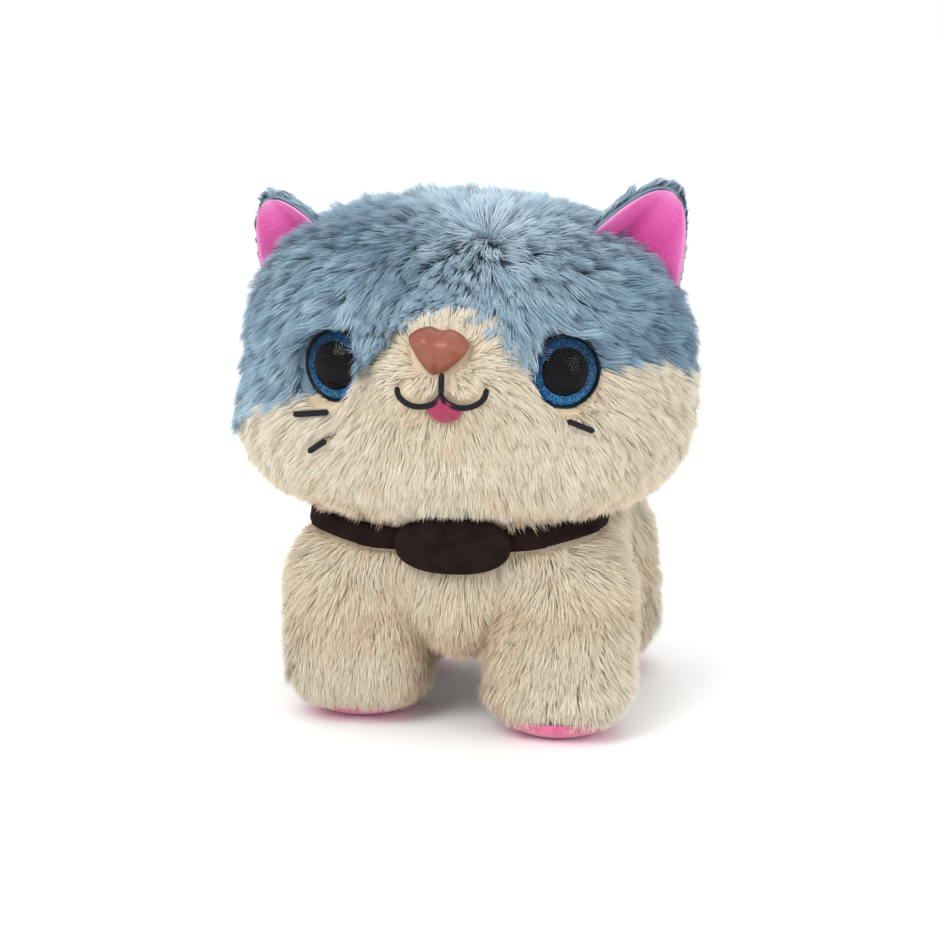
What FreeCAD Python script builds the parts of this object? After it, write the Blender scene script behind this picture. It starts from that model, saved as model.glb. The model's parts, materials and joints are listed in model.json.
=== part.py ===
import FreeCAD, Part
import math
import os
import re
import Sketcher
from FreeCAD import Placement, Rotation, Vector

# A plush kitten that walks on four legs.  It faces -Y, +X is its own left side and +Z is up.  The origin
# is on the floor, under the middle of its outline.  Lengths are in millimetres, angles in degrees.

os.makedirs("parts", exist_ok=True)
doc = FreeCAD.newDocument("plush_kitten")

SIZES = {
    # stuffed body
    "torso_half_width": 51.0, "torso_front": -69.0, "torso_back": 50.0,
    "torso_bottom": 30.0, "torso_top": 100.0, "torso_round": 30.0,
    # moulded chassis: the corners of its side outline, and its shell
    "chassis_half_width": 27.0, "chassis_wall": 2.0, "chassis_front": -57.0, "chassis_back": 38.0,
    "chin_low": 44.0, "chin_high": 56.0, "deck_front": -51.0, "deck_low": 62.0, "deck_rise": -14.0,
    "deck_crest": 6.0, "deck_high": 78.0, "deck_end": 30.0, "stern_high": 70.0, "stern_low": 50.0,
    "keel_back": 28.0, "keel_low": 32.0, "keel_front": -46.0,
    "screw_radius": 1.2, "screw_head_radius": 2.4, "screw_reach": 12.0, "boss_radius": 3.0,
    "screw_front": -51.0, "screw_front_height": 57.0, "screw_back": 31.0, "screw_high": 70.0,
    "screw_low": 50.0, "sound_hole_radius": 0.9, "hip_pin_short": 0.6,
    # legs and their links
    "hip_front": -53.0, "hip_back": 17.0, "hip_height": 46.0, "hip_pin_radius": 2.0, "stride_angle": 10.0,
    "leg_centre": 34.0, "leg_inner": 34.4, "shoulder_reach": 20.0, "shoulder_radius": 18.0,
    "pocket_gap": 3.2, "pocket_reach": 90.0, "leg_top": 34.0, "leg_ledge": 23.2, "leg_bulge_height": 12.0,
    "sole_height": 1.9, "sole_half_width": 18.0, "sole_half_length": 16.0,
    "ankle_half_width": 19.0, "ankle_half_length": 17.0, "bulge_half_width": 21.0,
    "bulge_half_length": 18.5, "thigh_half_width": 16.0, "thigh_half_length": 10.8,
    "front_link_inner": 29.3, "back_link_inner": 31.7, "link_thickness": 2.0, "link_slot_inner": 27.0,
    "link_slot_outer": 34.0, "lever_half_height": 4.0, "lever_overrun": 6.0, "lever_slot_width": 3.6,
    "lever_slot_length": 7.0, "link_side_gap": 0.3, "link_room_front": -60.0, "link_room_back": 24.0,
    "link_room_top": 60.0, "under_body": 20.0,
    "shin_half_width": 4.5, "shin_bottom": 9.0, "hub_radius": 4.0, "running_gap": 0.05,
    # gear train
    "crank_along": -18.0, "crank_pin_radius": 1.4, "crank_disc_radius": 9.0, "crank_disc_inner": 27.4,
    "crank_disc_outer": 28.3, "crank_pin_end": 28.9, "shaft_radius": 1.0, "gear_module": 0.6,
    "pressure_angle": 25.0, "addendum": 0.45, "dedendum": 0.62, "backlash": 0.2,
    "crank_teeth": 36, "idler_small_teeth": 12, "idler_big_teeth": 34, "pinion_teeth": 12,
    "idler_bearing": 15.0, "motor_bearing": 25.0, "gear_inner": 14.0, "gear_outer": 16.8,
    "big_gear_inner": 17.3, "big_gear_outer": 19.5, "motor_back": -12.0, "motor_face": 13.0,
    "motor_radius": 10.0, "motor_half_height": 7.5, "motor_bore": 4.5, "motor_shaft_buried": 4.0,
    "motor_shaft_overrun": 1.0, "idler_shaft_short": 0.4,
    # batteries and their door
    "cell_radius": 5.25, "cell_half_pitch": 5.4, "cell_height": 37.6, "cell_front": -43.0,
    "cell_length": 44.0, "cell_tip_radius": 1.9, "cell_tip_length": 0.8, "plate_thickness": 0.4,
    "plate_half_width": 4.0, "plate_below": 3.4, "plate_above": 4.5, "door_half_width": 13.0,
    "door_front": -47.0, "door_back": 9.0, "door_bottom": 30.0, "door_top": 31.7, "door_lap": 1.0,
    "door_screw_along": 5.5, "door_screw_play": 0.2, "door_screw_length": 4.0, "door_recess": 0.8,
    "door_rib_half_width": 0.5, "door_rib_height": 0.3, "door_gap": 0.5,
    # circuit board and speaker
    "board_half_width": 18.0, "board_front": 8.0, "board_back": 26.0, "board_low": 70.0,
    "board_top": 71.6, "chip_height": 1.4, "capacitor_radius": 2.0, "capacitor_height": 3.6,
    "crystal_height": 2.2, "speaker_height": 47.5, "speaker_front": -51.0, "speaker_rim_radius": 6.4,
    "speaker_basket_radius": 5.6, "speaker_magnet_radius": 4.0, "speaker_rim_depth": 1.5,
    "speaker_basket_depth": 2.5, "speaker_magnet_depth": 2.0,
    # neck and head
    "head_along": -31.0, "head_height": 119.0, "head_half_width": 74.0, "head_half_depth": 50.0,
    "head_half_height": 52.0, "cheek_along": -39.0, "cheek_height": 97.0, "cheek_half_width": 70.0,
    "cheek_half_depth": 48.0, "cheek_half_height": 31.0, "muzzle_along": -70.0, "muzzle_height": 118.0,
    "muzzle_half_width": 31.0, "muzzle_half_depth": 24.0, "muzzle_half_height": 22.0,
    "nod_along": -26.0, "nod_height": 108.0, "nod_up": -8.0, "nod_down": 2.5, "neck_gap": 1.5,
    "post_half_width": 4.0, "neck_slot_half_width": 6.0, "neck_slot_front": -41.0,
    "neck_slot_back": -11.0, "neck_slot_low": 55.0, "neck_slot_high": 92.0, "neck_room_top": 80.0,
    "neck_pin_radius": 1.5, "neck_pin_half_length": 12.0,
    "skull_height": 114.0, "skull_half_width": 40.0, "skull_half_depth": 27.0, "skull_half_height": 30.0,
    "skull_wall": 2.0, "skull_boss_inner": 5.0, "skull_boss_radius": 4.0,
    # face panel: the corners of its seam with the crown, seen from the front
    "seam_side": 85.0, "seam_side_height": 105.0, "seam_eye": 40.0, "seam_eye_height": 109.0,
    "seam_bridge": 24.0, "seam_bridge_height": 116.0, "seam_top": 12.0, "seam_top_height": 133.0,
    "seam_bottom_height": 50.0, "face_panel_depth": 110.0,
    # eyes
    "eye_side": 37.0, "eye_along": -72.8, "eye_height": 121.5, "eye_yaw": 28.0, "eye_radius": 11.0,
    "eye_dome_height": 5.5, "eye_rim_radius": 11.7, "eye_stem_radius": 2.0, "eye_stem_end": 12.0,
    "eye_flange_back": 2.2, "eye_opening_reach": 14.0, "washer_radius": 7.5, "washer_near": 8.5,
    "washer_far": 10.0,
    # nose, mouth, whiskers and tongue
    "nose_height": 130.5, "nose_along": -88.5, "nose_half_width": 10.5, "nose_half_depth": 6.5,
    "nose_half_height": 7.3, "nose_stem_radius": 2.0, "nose_stem_back": -75.0, "nose_washer_radius": 5.0,
    "nose_washer_front": -81.0, "nose_washer_back": -79.5,
    "thread_radius": 0.9, "lip_radius": 6.8, "lip_height": 117.5, "philtrum_top": 124.0,
    "tongue_radius": 5.5, "tongue_height": 111.0, "tongue_top": 113.0, "tongue_thickness": 1.6,
    "whisker_side": 50.0, "whisker_high": 105.0, "whisker_low": 96.0, "whisker_long": 11.0,
    "whisker_short": 8.0, "whisker_tilt": 9.0, "whisker_depth": 19.0, "face_front": -100.0,
    # ears
    "ear_side": 57.5, "ear_along": -37.0, "ear_height": 151.5, "ear_tilt": 28.0, "ear_yaw": 25.0,
    "ear_half_base": 25.0, "ear_base_drop": -16.0, "ear_apex": 40.0, "ear_apex_round": 11.0,
    "ear_thickness": 3.5, "lining_half_base": 20.0, "lining_apex": 32.0, "lining_apex_round": 8.5,
    "lining_thickness": 1.5,
    # tail
    "tail_along": 46.0, "tail_height": 78.0, "tail_radius": 8.0, "tail_bend": 41.0, "tail_ball": 9.0,
    "tail_hub_bottom": 58.3, "tail_hub_radius": 3.0, "tail_pin_radius": 1.2, "tail_pin_top": 68.0,
    "tail_post_top": 82.0, "tail_gap": 1.5, "tail_arm_front": 33.0, "tail_arm_low": 60.0,
    "tail_arm_high": 63.0, "tail_arm_half_width": 1.5, "tail_shelf_half_width": 5.0,
    "tail_shelf_top": 58.0, "tail_shelf_thickness": 2.0, "tail_room_half_width": 8.0,
    # collar
    "collar_width": 6.6, "collar_thickness": 1.5, "collar_gap": 0.1, "collar_front_height": 64.0,
    "collar_start": -80.0, "collar_bend": -37.0, "collar_slope": 2.5, "collar_rise": 36.0,
    "collar_bend_radius": 50.0, "collar_run": 60.0,
    "medallion_height": 62.0, "medallion_half_width": 18.5, "medallion_half_height": 9.0,
    "medallion_depth": 4.2, "medallion_back": -70.8,
    # buttons under the plush, and the slide switch in the belly
    "back_button_along": 31.0, "back_button_stem": 80.0, "back_button_low": 88.0,
    "back_button_top": 91.0, "head_button_stem": 147.0, "head_button_low": 158.0,
    "head_button_top": 161.0, "button_radius": 8.0, "button_stem_radius": 2.5, "button_room": 1.0,
    "button_headroom": 1.8, "button_footroom": 6.0, "switch_front": 12.0, "switch_back": 23.0,
    "switch_travel": 2.5, "switch_slot_half_width": 2.0, "switch_half_width": 4.5, "switch_case_height": 6.0,
    "knob_half_width": 1.5, "knob_proud": 1.6, "tail_slot_half_width": 6.5,
}

sheet = doc.addObject("Spreadsheet::Sheet", "Sizes")
for row, (alias, number) in enumerate(SIZES.items(), start=1):
    sheet.set(f"A{row}", alias)
    sheet.set(f"B{row}", str(number))
    sheet.setAlias(f"B{row}", alias)
doc.recompute()

ALONG = {"x": Rotation(Vector(0, 1, 0), 90), "y": Rotation(Vector(1, 0, 0), -90), "z": Rotation()}
SIDES = {"left": 1, "right": -1}
nodes = []


def size(alias):
    """One driving dimension, read from its cell."""
    return float(sheet.get(alias))


def formula(text):
    """Write the size names in a formula as references to the sheet's cells."""
    return re.sub(r"[a-z_]+", lambda word: "Sizes." + word[0] if word[0] in SIZES else word[0], str(text))


def bind(thing, formulas):
    """Bind properties of an object to formulas."""
    for path, text in formulas.items():
        thing.setExpression(path, formula(text))
    return thing


def put(thing, place, rotation=Rotation()):
    """Place an object at three formulas, turned by a rotation."""
    thing.Placement = Placement(Vector(), rotation)
    return bind(thing, {f"Placement.Base.{axis}": text for axis, text in zip("xyz", place)})


def node(thing, label):
    """Keep an object as a sub-part, under its own label."""
    thing.Label = label
    nodes.append(thing)
    return thing


# ---- plain solids and their combinations ----

def box(name, low, high):
    """A block between two corners."""
    thing = put(doc.addObject("Part::Box", name), low)
    spans = [f"({top}) - ({bottom})" for bottom, top in zip(low, high)]
    return bind(thing, dict(zip(("Length", "Width", "Height"), spans)))


def rod(name, radius, start, length, axis):
    """A cylinder from a starting point along one axis."""
    thing = put(doc.addObject("Part::Cylinder", name), start, ALONG[axis])
    return bind(thing, {"Radius": radius, "Height": length})


def ellipsoid(name, centre, radii):
    """A full ellipsoid with its three half axes along X, Y and Z."""
    thing = put(doc.addObject("Part::Ellipsoid", name), centre)
    thing.Angle1 = -90
    thing.Angle2 = 90
    thing.Angle3 = 360
    return bind(thing, {"Radius1": radii[2], "Radius2": radii[0], "Radius3": radii[1]})


def fuse(name, parts):
    thing = doc.addObject("Part::MultiFuse", name)
    thing.Shapes = parts
    return thing


def group(name, parts):
    """Separate solids kept together in one sub-part."""
    thing = doc.addObject("Part::Compound", name)
    thing.Links = parts
    return thing


def cut(name, base, tools):
    thing = doc.addObject("Part::Cut", name)
    thing.Base = base
    thing.Tool = tools[0] if len(tools) == 1 else fuse(name + "_removed", tools)
    return thing


def common(name, first, second):
    thing = doc.addObject("Part::Common", name)
    thing.Base = first
    thing.Tool = second
    return thing


def mirrored(name, source):
    """The same piece on the other side of the middle plane."""
    thing = doc.addObject("Part::Mirroring", name)
    thing.Source = source
    thing.Normal = Vector(1, 0, 0)
    return thing


def solid(name, shape, place):
    """A piece whose shape is worked out here rather than from primitives, moved to its place."""
    thing = doc.addObject("Part::Feature", name)
    thing.Shape = shape
    thing.Placement = Placement(Vector(*place), Rotation())
    return thing


def either_side(side, near, far):
    """The low and high X of a span that lies between two distances from the middle plane."""
    return (near, far) if side > 0 else (f"-({far})", f"-({near})")


def prism(name, plane, corners, depth, reverse, wall=None):
    """A body padded from a closed outline on one of its planes, and hollowed if a wall is given."""
    body = doc.addObject("PartDesign::Body", name)
    sketch = body.newObject("Sketcher::SketchObject", name + "_outline")
    base = next(feature for feature in body.Origin.OriginFeatures if feature.Role == plane)
    sketch.AttachmentSupport = [(base, "")]
    sketch.MapMode = "FlatFace"
    points = [Vector(sign_a * size(a), sign_b * size(b), 0) for (sign_a, a), (sign_b, b) in corners]
    count = len(points)
    for index in range(count):
        sketch.addGeometry(Part.LineSegment(points[index], points[(index + 1) % count]), False)
    for index in range(count):
        sketch.addConstraint(Sketcher.Constraint("Coincident", index, 2, (index + 1) % count, 1))
    for index, (point, corner) in enumerate(zip(points, corners)):
        for kind, value, (sign, alias) in zip(("DistanceX", "DistanceY"), point, corner):
            number = sketch.addConstraint(Sketcher.Constraint(kind, -1, 1, index, 1, value))
            bind(sketch, {f"Constraints[{number}]": f"{sign} * {alias}"})
    pad = body.newObject("PartDesign::Pad", name + "_pad")
    pad.Profile = sketch
    pad.Reversed = reverse
    bind(pad, {"Length": depth})
    doc.recompute()
    if wall:
        open_face = next(f"Face{number}" for number, face in enumerate(pad.Shape.Faces, start=1)
                         if face.BoundBox.XLength < 1e-6 and abs(face.BoundBox.XMin) < 1e-6)
        shell = body.newObject("PartDesign::Thickness", name + "_shell")
        shell.Base = (pad, [open_face])
        shell.Reversed = True
        shell.Join = 1
        bind(shell, {"Value": wall})
        body.Tip = shell
    return body


def rounded_box(name, low, high, radius, vertical_only=False):
    """A block with round edges; the radius is a size in millimetres."""
    block = box(name + "_block", low, high)
    doc.recompute()
    edges = [number for number, edge in enumerate(block.Shape.Edges, start=1)
             if not vertical_only or edge.BoundBox.ZLength > 1e-6]
    thing = doc.addObject("Part::Fillet", name)
    thing.Base = block
    thing.Edges = [(number, radius, radius) for number in edges]
    return thing


# ---- chassis ----

CHASSIS_CORNERS = [
    ("chassis_front", "chin_low"), ("chassis_front", "chin_high"), ("deck_front", "deck_low"),
    ("deck_rise", "deck_low"), ("deck_crest", "deck_high"), ("deck_end", "deck_high"),
    ("chassis_back", "stern_high"), ("chassis_back", "stern_low"), ("keel_back", "keel_low"),
    ("keel_front", "keel_low"),
]
SCREW_PLACES = [("screw_front", "screw_front_height"), ("screw_back", "screw_high"),
                ("screw_back", "screw_low")]
SOUND_HOLES = [(4, 50), (4, 46), (8, 48), (8, 44), (4, 54)]


def chassis_form(name, side, wall=None):
    """One side of the chassis, from the middle plane outwards: a full block, or an open shell."""
    corners = [((1, along), (1, height)) for along, height in CHASSIS_CORNERS]
    return prism(name, "YZ_Plane", corners, "chassis_half_width", side < 0, wall)


def chassis_half(label, side):
    """A moulded half shell with screw bosses, bearings and the openings it shares with the other half."""
    shell = chassis_form(label + "_form", side, "chassis_wall")
    wall = "chassis_half_width - chassis_wall"
    bosses = []
    holes = []
    for number, (along, height) in enumerate(SCREW_PLACES):
        start = either_side(side, "0", wall)[0]
        bosses.append(rod(f"{label}_boss_{number}", "boss_radius", (start, along, height), wall, "x"))
        reach = either_side(side, "0", "screw_reach" if side > 0 else wall)
        holes.append(rod(f"{label}_bore_{number}", "screw_radius", (reach[0], along, height),
                         "screw_reach" if side > 0 else wall, "x"))
        if side < 0:
            holes.append(rod(f"{label}_recess_{number}", "screw_head_radius",
                             ("-chassis_half_width", along, height), "chassis_wall", "x"))
    outer = either_side(side, wall, "chassis_half_width")[0]
    shafts = [
        ("crank", "shaft_radius + running_gap", crank_centre),
        ("idler", "shaft_radius + running_gap", idler_centre),
        ("front_hip", "hip_pin_radius", ("hip_front", "hip_height")),
        ("back_hip", "hip_pin_radius", ("hip_back", "hip_height")),
    ]
    for name, radius, (along, height) in shafts:
        holes.append(rod(f"{label}_{name}", radius, (outer, along, height), "chassis_wall", "x"))
    keel = ("keel_low", "keel_low + chassis_wall")
    openings = [
        ("cells", (0, "door_half_width - door_lap"), ("keel_front", "door_screw_along - 3"), keel),
        ("switch", (0, "switch_slot_half_width"), ("switch_front + 2", "switch_back - 2"), keel),
        ("tail_arm", (0, "tail_slot_half_width"), ("chassis_back - chassis_wall", "chassis_back"),
         ("tail_arm_low - 1", "tail_arm_high + 1")),
    ]
    for name, (near, far), along, height in openings:
        low_x, high_x = either_side(side, near, far)
        holes.append(box(f"{label}_{name}", (low_x, along[0], height[0]), (high_x, along[1], height[1])))
    holes.append(rod(f"{label}_door_screw", "screw_radius + door_screw_play",
                     (0, "door_screw_along", "keel_low"), "chassis_wall", "z"))
    for number, (across, height) in enumerate(SOUND_HOLES):
        place = (side * across, "chassis_front", height)
        holes.append(rod(f"{label}_sound_{number}", "sound_hole_radius", place, "chassis_wall", "y"))
    return node(cut(label, fuse(label + "_solid", [shell] + bosses), holes), label)


def chassis_screws():
    """Three screws from the right side, each with its head sunk in the wall."""
    screws = []
    for number, (along, height) in enumerate(SCREW_PLACES):
        head = rod(f"screw_head_{number}", "screw_head_radius",
                   ("-chassis_half_width", along, height), "chassis_wall", "x")
        shank = rod(f"screw_shank_{number}", "screw_radius",
                    ("chassis_wall - chassis_half_width", along, height),
                    "chassis_half_width - chassis_wall + screw_reach", "x")
        screws.append(fuse(f"screw_{number}", [head, shank]))
    return node(group("chassis_screws", screws), "chassis_screws")


def hip_pins():
    """A pin for each leg, pressed through the chassis wall."""
    pins = []
    for side_name, side in SIDES.items():
        for end in ("front", "back"):
            low_x, high_x = either_side(side, "chassis_half_width - chassis_wall",
                                        "leg_inner - hip_pin_short")
            pins.append(rod(f"hip_pin_{end}_{side_name}", "hip_pin_radius", (low_x, f"hip_{end}", "hip_height"),
                            f"({high_x}) - ({low_x})", "x"))
    return node(group("hip_pins", pins), "hip_pins")


# ---- gear train ----

def polar(radius, angle):
    """A point in the side view, with the angle measured from +Y towards +Z."""
    return Vector(0, radius * math.cos(angle), radius * math.sin(angle))


def involute(angle):
    return math.tan(angle) - angle


def gear(teeth, phase, thickness, bore):
    """A spur gear about the X axis, from X = 0, with a tooth centred on the phase angle."""
    pitch_radius = size("gear_module") * teeth / 2
    pressure = math.radians(size("pressure_angle"))
    base = pitch_radius * math.cos(pressure)
    tip = pitch_radius + size("addendum")
    root = pitch_radius - size("dedendum")
    half_tooth = math.pi / (2 * teeth) - size("backlash") / (4 * pitch_radius)
    start = max(base, root)
    flank_radii = [start + (tip - start) * step / 3 for step in range(4)]
    spread = [half_tooth + involute(pressure) - involute(math.acos(min(1.0, base / radius)))
              for radius in flank_radii]
    edges = []
    step = 2 * math.pi / teeth
    for tooth in range(teeth):
        middle = phase + tooth * step
        rising = [polar(radius, middle - half) for radius, half in zip(flank_radii, spread)]
        falling = [polar(radius, middle + half) for radius, half in zip(flank_radii, spread)]
        next_rise = polar(root if root < base else start, middle + step - spread[0])
        if root < base:
            edges.append(Part.makeLine(polar(root, middle - spread[0]), rising[0]))
        for flank, points in (("rising", rising), ("falling", falling[::-1])):
            curve = Part.BSplineCurve()
            curve.interpolate(points)
            edges.append(curve.toShape())
            if flank == "rising":
                edges.append(Part.Arc(rising[-1], polar(tip, middle), falling[-1]).toShape())
        foot = falling[0]
        if root < base:
            foot = polar(root, middle + spread[0])
            edges.append(Part.makeLine(falling[0], foot))
        valley = polar(root if root < base else start, middle + step / 2)
        edges.append(Part.Arc(foot, valley, next_rise).toShape())
    face = Part.Face(Part.Wire(Part.sortEdges(edges)[0]))
    blank = face.extrude(Vector(thickness, 0, 0))
    return blank.cut(Part.makeCylinder(bore, thickness, Vector(), Vector(1, 0, 0)))


def stepped(start, teeth_sum, bearing):
    """The centre of a gear that meshes with the one at a centre, in a given direction."""
    distance = size("gear_module") * teeth_sum / 2
    angle = math.radians(size(bearing))
    return (start[0] + distance * math.cos(angle), start[1] + distance * math.sin(angle))


crank_centre = (size("crank_along"), size("hip_height"))
idler_centre = stepped(crank_centre, size("crank_teeth") + size("idler_small_teeth"), "idler_bearing")
motor_centre = stepped(idler_centre, size("idler_big_teeth") + size("pinion_teeth"), "motor_bearing")
lever_length = size("crank_along") - size("hip_front")
crank_throw = lever_length * math.tan(math.radians(size("stride_angle")))


def gear_train():
    """Crank gear, compound idler and motor pinion, in mesh, each on its own shaft."""
    to_idler = math.radians(size("idler_bearing"))
    to_motor = math.radians(size("motor_bearing"))
    crank_teeth, small_teeth = int(size("crank_teeth")), int(size("idler_small_teeth"))
    big_teeth, pinion_teeth = int(size("idler_big_teeth")), int(size("pinion_teeth"))
    bore = size("shaft_radius")
    small_phase = to_idler + math.pi + math.pi / small_teeth
    big_phase = to_motor
    pinion_phase = to_motor + math.pi + math.pi / pinion_teeth
    inner, outer = size("gear_inner"), size("gear_outer")
    big_inner, big_outer = size("big_gear_inner"), size("big_gear_outer")
    crank_gear = gear(crank_teeth, to_idler, outer - inner, bore)
    node(solid("crank_gear", crank_gear, (inner, *crank_centre)), "crank_gear")
    small = gear(small_teeth, small_phase, big_inner - inner, bore)
    big = gear(big_teeth, big_phase, big_outer - big_inner, bore)
    big.translate(Vector(big_inner - inner, 0, 0))
    node(solid("idler_gear", small.fuse(big), (inner, *idler_centre)), "idler_gear")
    node(rod("idler_shaft", "shaft_radius", ("idler_shaft_short - chassis_half_width", *idler_centre),
             "2 * (chassis_half_width - idler_shaft_short)", "x"), "idler_shaft")
    pinion = gear(pinion_teeth, pinion_phase, big_outer - big_inner, bore)
    node(solid("motor_pinion", pinion, (big_inner, *motor_centre)), "motor_pinion")
    node(rod("motor_shaft", "shaft_radius", ("motor_face - motor_shaft_buried", *motor_centre),
             "big_gear_outer + motor_shaft_overrun - motor_face + motor_shaft_buried", "x"), "motor_shaft")


def crank():
    """A shaft across the chassis, with a disc and a pin at each end, half a turn apart."""
    node(rod("crankshaft", "shaft_radius", ("-crank_disc_outer", *crank_centre), "2 * crank_disc_outer", "x"),
         "crankshaft")
    discs = []
    for side_name, side in SIDES.items():
        low, _ = either_side(side, "crank_disc_inner", "crank_disc_outer")
        disc = rod(f"crank_disc_{side_name}", "crank_disc_radius", (low, *crank_centre),
                   "crank_disc_outer - crank_disc_inner", "x")
        low, _ = either_side(side, "crank_disc_outer", "crank_pin_end")
        pin = rod(f"crank_pin_{side_name}", "crank_pin_radius",
                  (low, crank_centre[0], crank_centre[1] - side * crank_throw),
                  "crank_pin_end - crank_disc_outer", "x")
        low, _ = either_side(side, "crank_disc_inner", "crank_disc_outer")
        bore = rod(f"crank_bore_{side_name}", "shaft_radius", (low, *crank_centre),
                   "crank_disc_outer - crank_disc_inner", "x")
        discs.append(cut(f"crank_{side_name}", fuse(f"crank_{side_name}_solid", [disc, pin]), [bore]))
    node(group("crank_discs", discs), "crank_discs")


def motor():
    """A small can motor lying across the chassis, with flat top and bottom."""
    length = "motor_face - motor_back"
    can = rod("motor_round", "motor_radius", ("motor_back", *motor_centre), length, "x")
    along, height = motor_centre
    flats = box("motor_flats", ("motor_back", f"{along} - motor_radius", f"{height} - motor_half_height"),
                ("motor_face", f"{along} + motor_radius", f"{height} + motor_half_height"))
    hole = rod("motor_bearing_hole", "shaft_radius + running_gap", ("motor_face - motor_bore", along, height),
               "motor_bore", "x")
    node(cut("motor_can", common("motor_block", can, flats), [hole]), "motor_can")


# ---- electrics ----

def batteries():
    """Two cells side by side over the door, and the four plates that they press on."""
    cells = []
    plates = []
    for side_name, side in SIDES.items():
        across = f"{side} * cell_half_pitch"
        can = rod(f"cell_{side_name}", "cell_radius", (across, "cell_front", "cell_height"), "cell_length", "y")
        tip_start = "cell_front + cell_length" if side > 0 else "cell_front - cell_tip_length"
        tip = rod(f"cell_tip_{side_name}", "cell_tip_radius", (across, tip_start, "cell_height"),
                  "cell_tip_length", "y")
        cells.append(fuse(f"cell_solid_{side_name}", [can, tip]))
        for end, place in (("front", "cell_front - cell_tip_length - plate_thickness"),
                           ("back", "cell_front + cell_length + cell_tip_length")):
            plates.append(box(f"plate_{end}_{side_name}",
                              (f"{across} - plate_half_width", place, "cell_height - plate_below"),
                              (f"{across} + plate_half_width", f"{place} + plate_thickness",
                               "cell_height + plate_above")))
    node(group("battery_cells", cells), "battery_cells")
    node(group("battery_contacts", plates), "battery_contacts")


def battery_door():
    """A flat door under the cells, held by one screw that stays in it."""
    plate = box("door_plate", ("-door_half_width", "door_front", "door_bottom"),
                ("door_half_width", "door_back", "door_top"))
    place = (0, "door_screw_along", "door_bottom")
    hole = rod("door_hole", "screw_radius", place, "door_top - door_bottom + door_rib_height", "z")
    recess = rod("door_recess_cut", "screw_head_radius", place, "door_recess", "z")
    ribs = [box(f"door_rib_{number}", (f"{across} - door_rib_half_width", "door_front + 6", "door_top"),
                (f"{across} + door_rib_half_width", "door_back - 10", "door_top + door_rib_height"))
            for number, across in enumerate((-8, 0, 8))]
    node(cut("battery_door", fuse("door_solid", [plate] + ribs), [hole, recess]), "battery_door")
    head = rod("door_screw_head", "screw_head_radius", place, "door_recess", "z")
    shank = rod("door_screw_shank", "screw_radius", (0, "door_screw_along", "door_bottom + door_recess"),
                "door_screw_length", "z")
    node(fuse("door_screw", [head, shank]), "door_screw")


def circuit_board():
    """The board over the motor and the parts soldered on it."""
    node(box("circuit_board", ("-board_half_width", "board_front", "board_low"),
             ("board_half_width", "board_back", "board_top")), "circuit_board")
    chip = box("chip", (-5, "board_front + 4", "board_top"), (5, "board_front + 12", "board_top + chip_height"))
    capacitor = rod("capacitor", "capacitor_radius", (11, "board_front + 5", "board_top"),
                    "capacitor_height", "z")
    crystal = box("crystal", (-14, "board_front + 3", "board_top"),
                  (-11, "board_front + 12", "board_top + crystal_height"))
    node(group("board_components", [chip, capacitor, crystal]), "board_components")


def speaker():
    """A small round speaker behind the sound holes in the front wall."""
    steps = []
    front = "speaker_front"
    for name in ("rim", "basket", "magnet"):
        steps.append(rod(f"speaker_{name}", f"speaker_{name}_radius", (0, front, "speaker_height"),
                         f"speaker_{name}_depth", "y"))
        front += f" + speaker_{name}_depth"
    node(fuse("speaker", steps), "speaker")


def power_switch():
    """A slide switch inside the belly, with its knob through a slot."""
    floor = "keel_low + chassis_wall"
    case = box("switch_case", ("-switch_half_width", "switch_front", floor),
               ("switch_half_width", "switch_back", f"{floor} + switch_case_height"))
    room = box("switch_room", ("-switch_slot_half_width", "switch_front + 2", floor),
               ("switch_slot_half_width", "switch_back - 2", f"{floor} + switch_case_height / 2"))
    node(cut("switch_housing", case, [room]), "switch_housing")
    node(box("power_switch_slider", ("-knob_half_width", "switch_front + 2.5", "keel_low - knob_proud"),
             ("knob_half_width", "switch_back - 2.5 - switch_travel", f"{floor} + 2.5")), "power_switch_slider")


def touch_button(label, along, stem_bottom, low, top):
    """A round cap on a stem, pressed through the plush.  It gives back the room that the button moves in."""
    cap = rod(label + "_cap", "button_radius", (0, along, low), f"{top} - {low}", "z")
    stem = rod(label + "_stem", "button_stem_radius", (0, along, stem_bottom), f"{low} - {stem_bottom}", "z")
    node(fuse(label, [cap, stem]), label)
    return rod(label + "_room", "button_radius + button_room", (0, along, f"{stem_bottom} - button_footroom"),
               f"{top} - {stem_bottom} + button_footroom + button_headroom", "z")


# ---- legs ----

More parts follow.
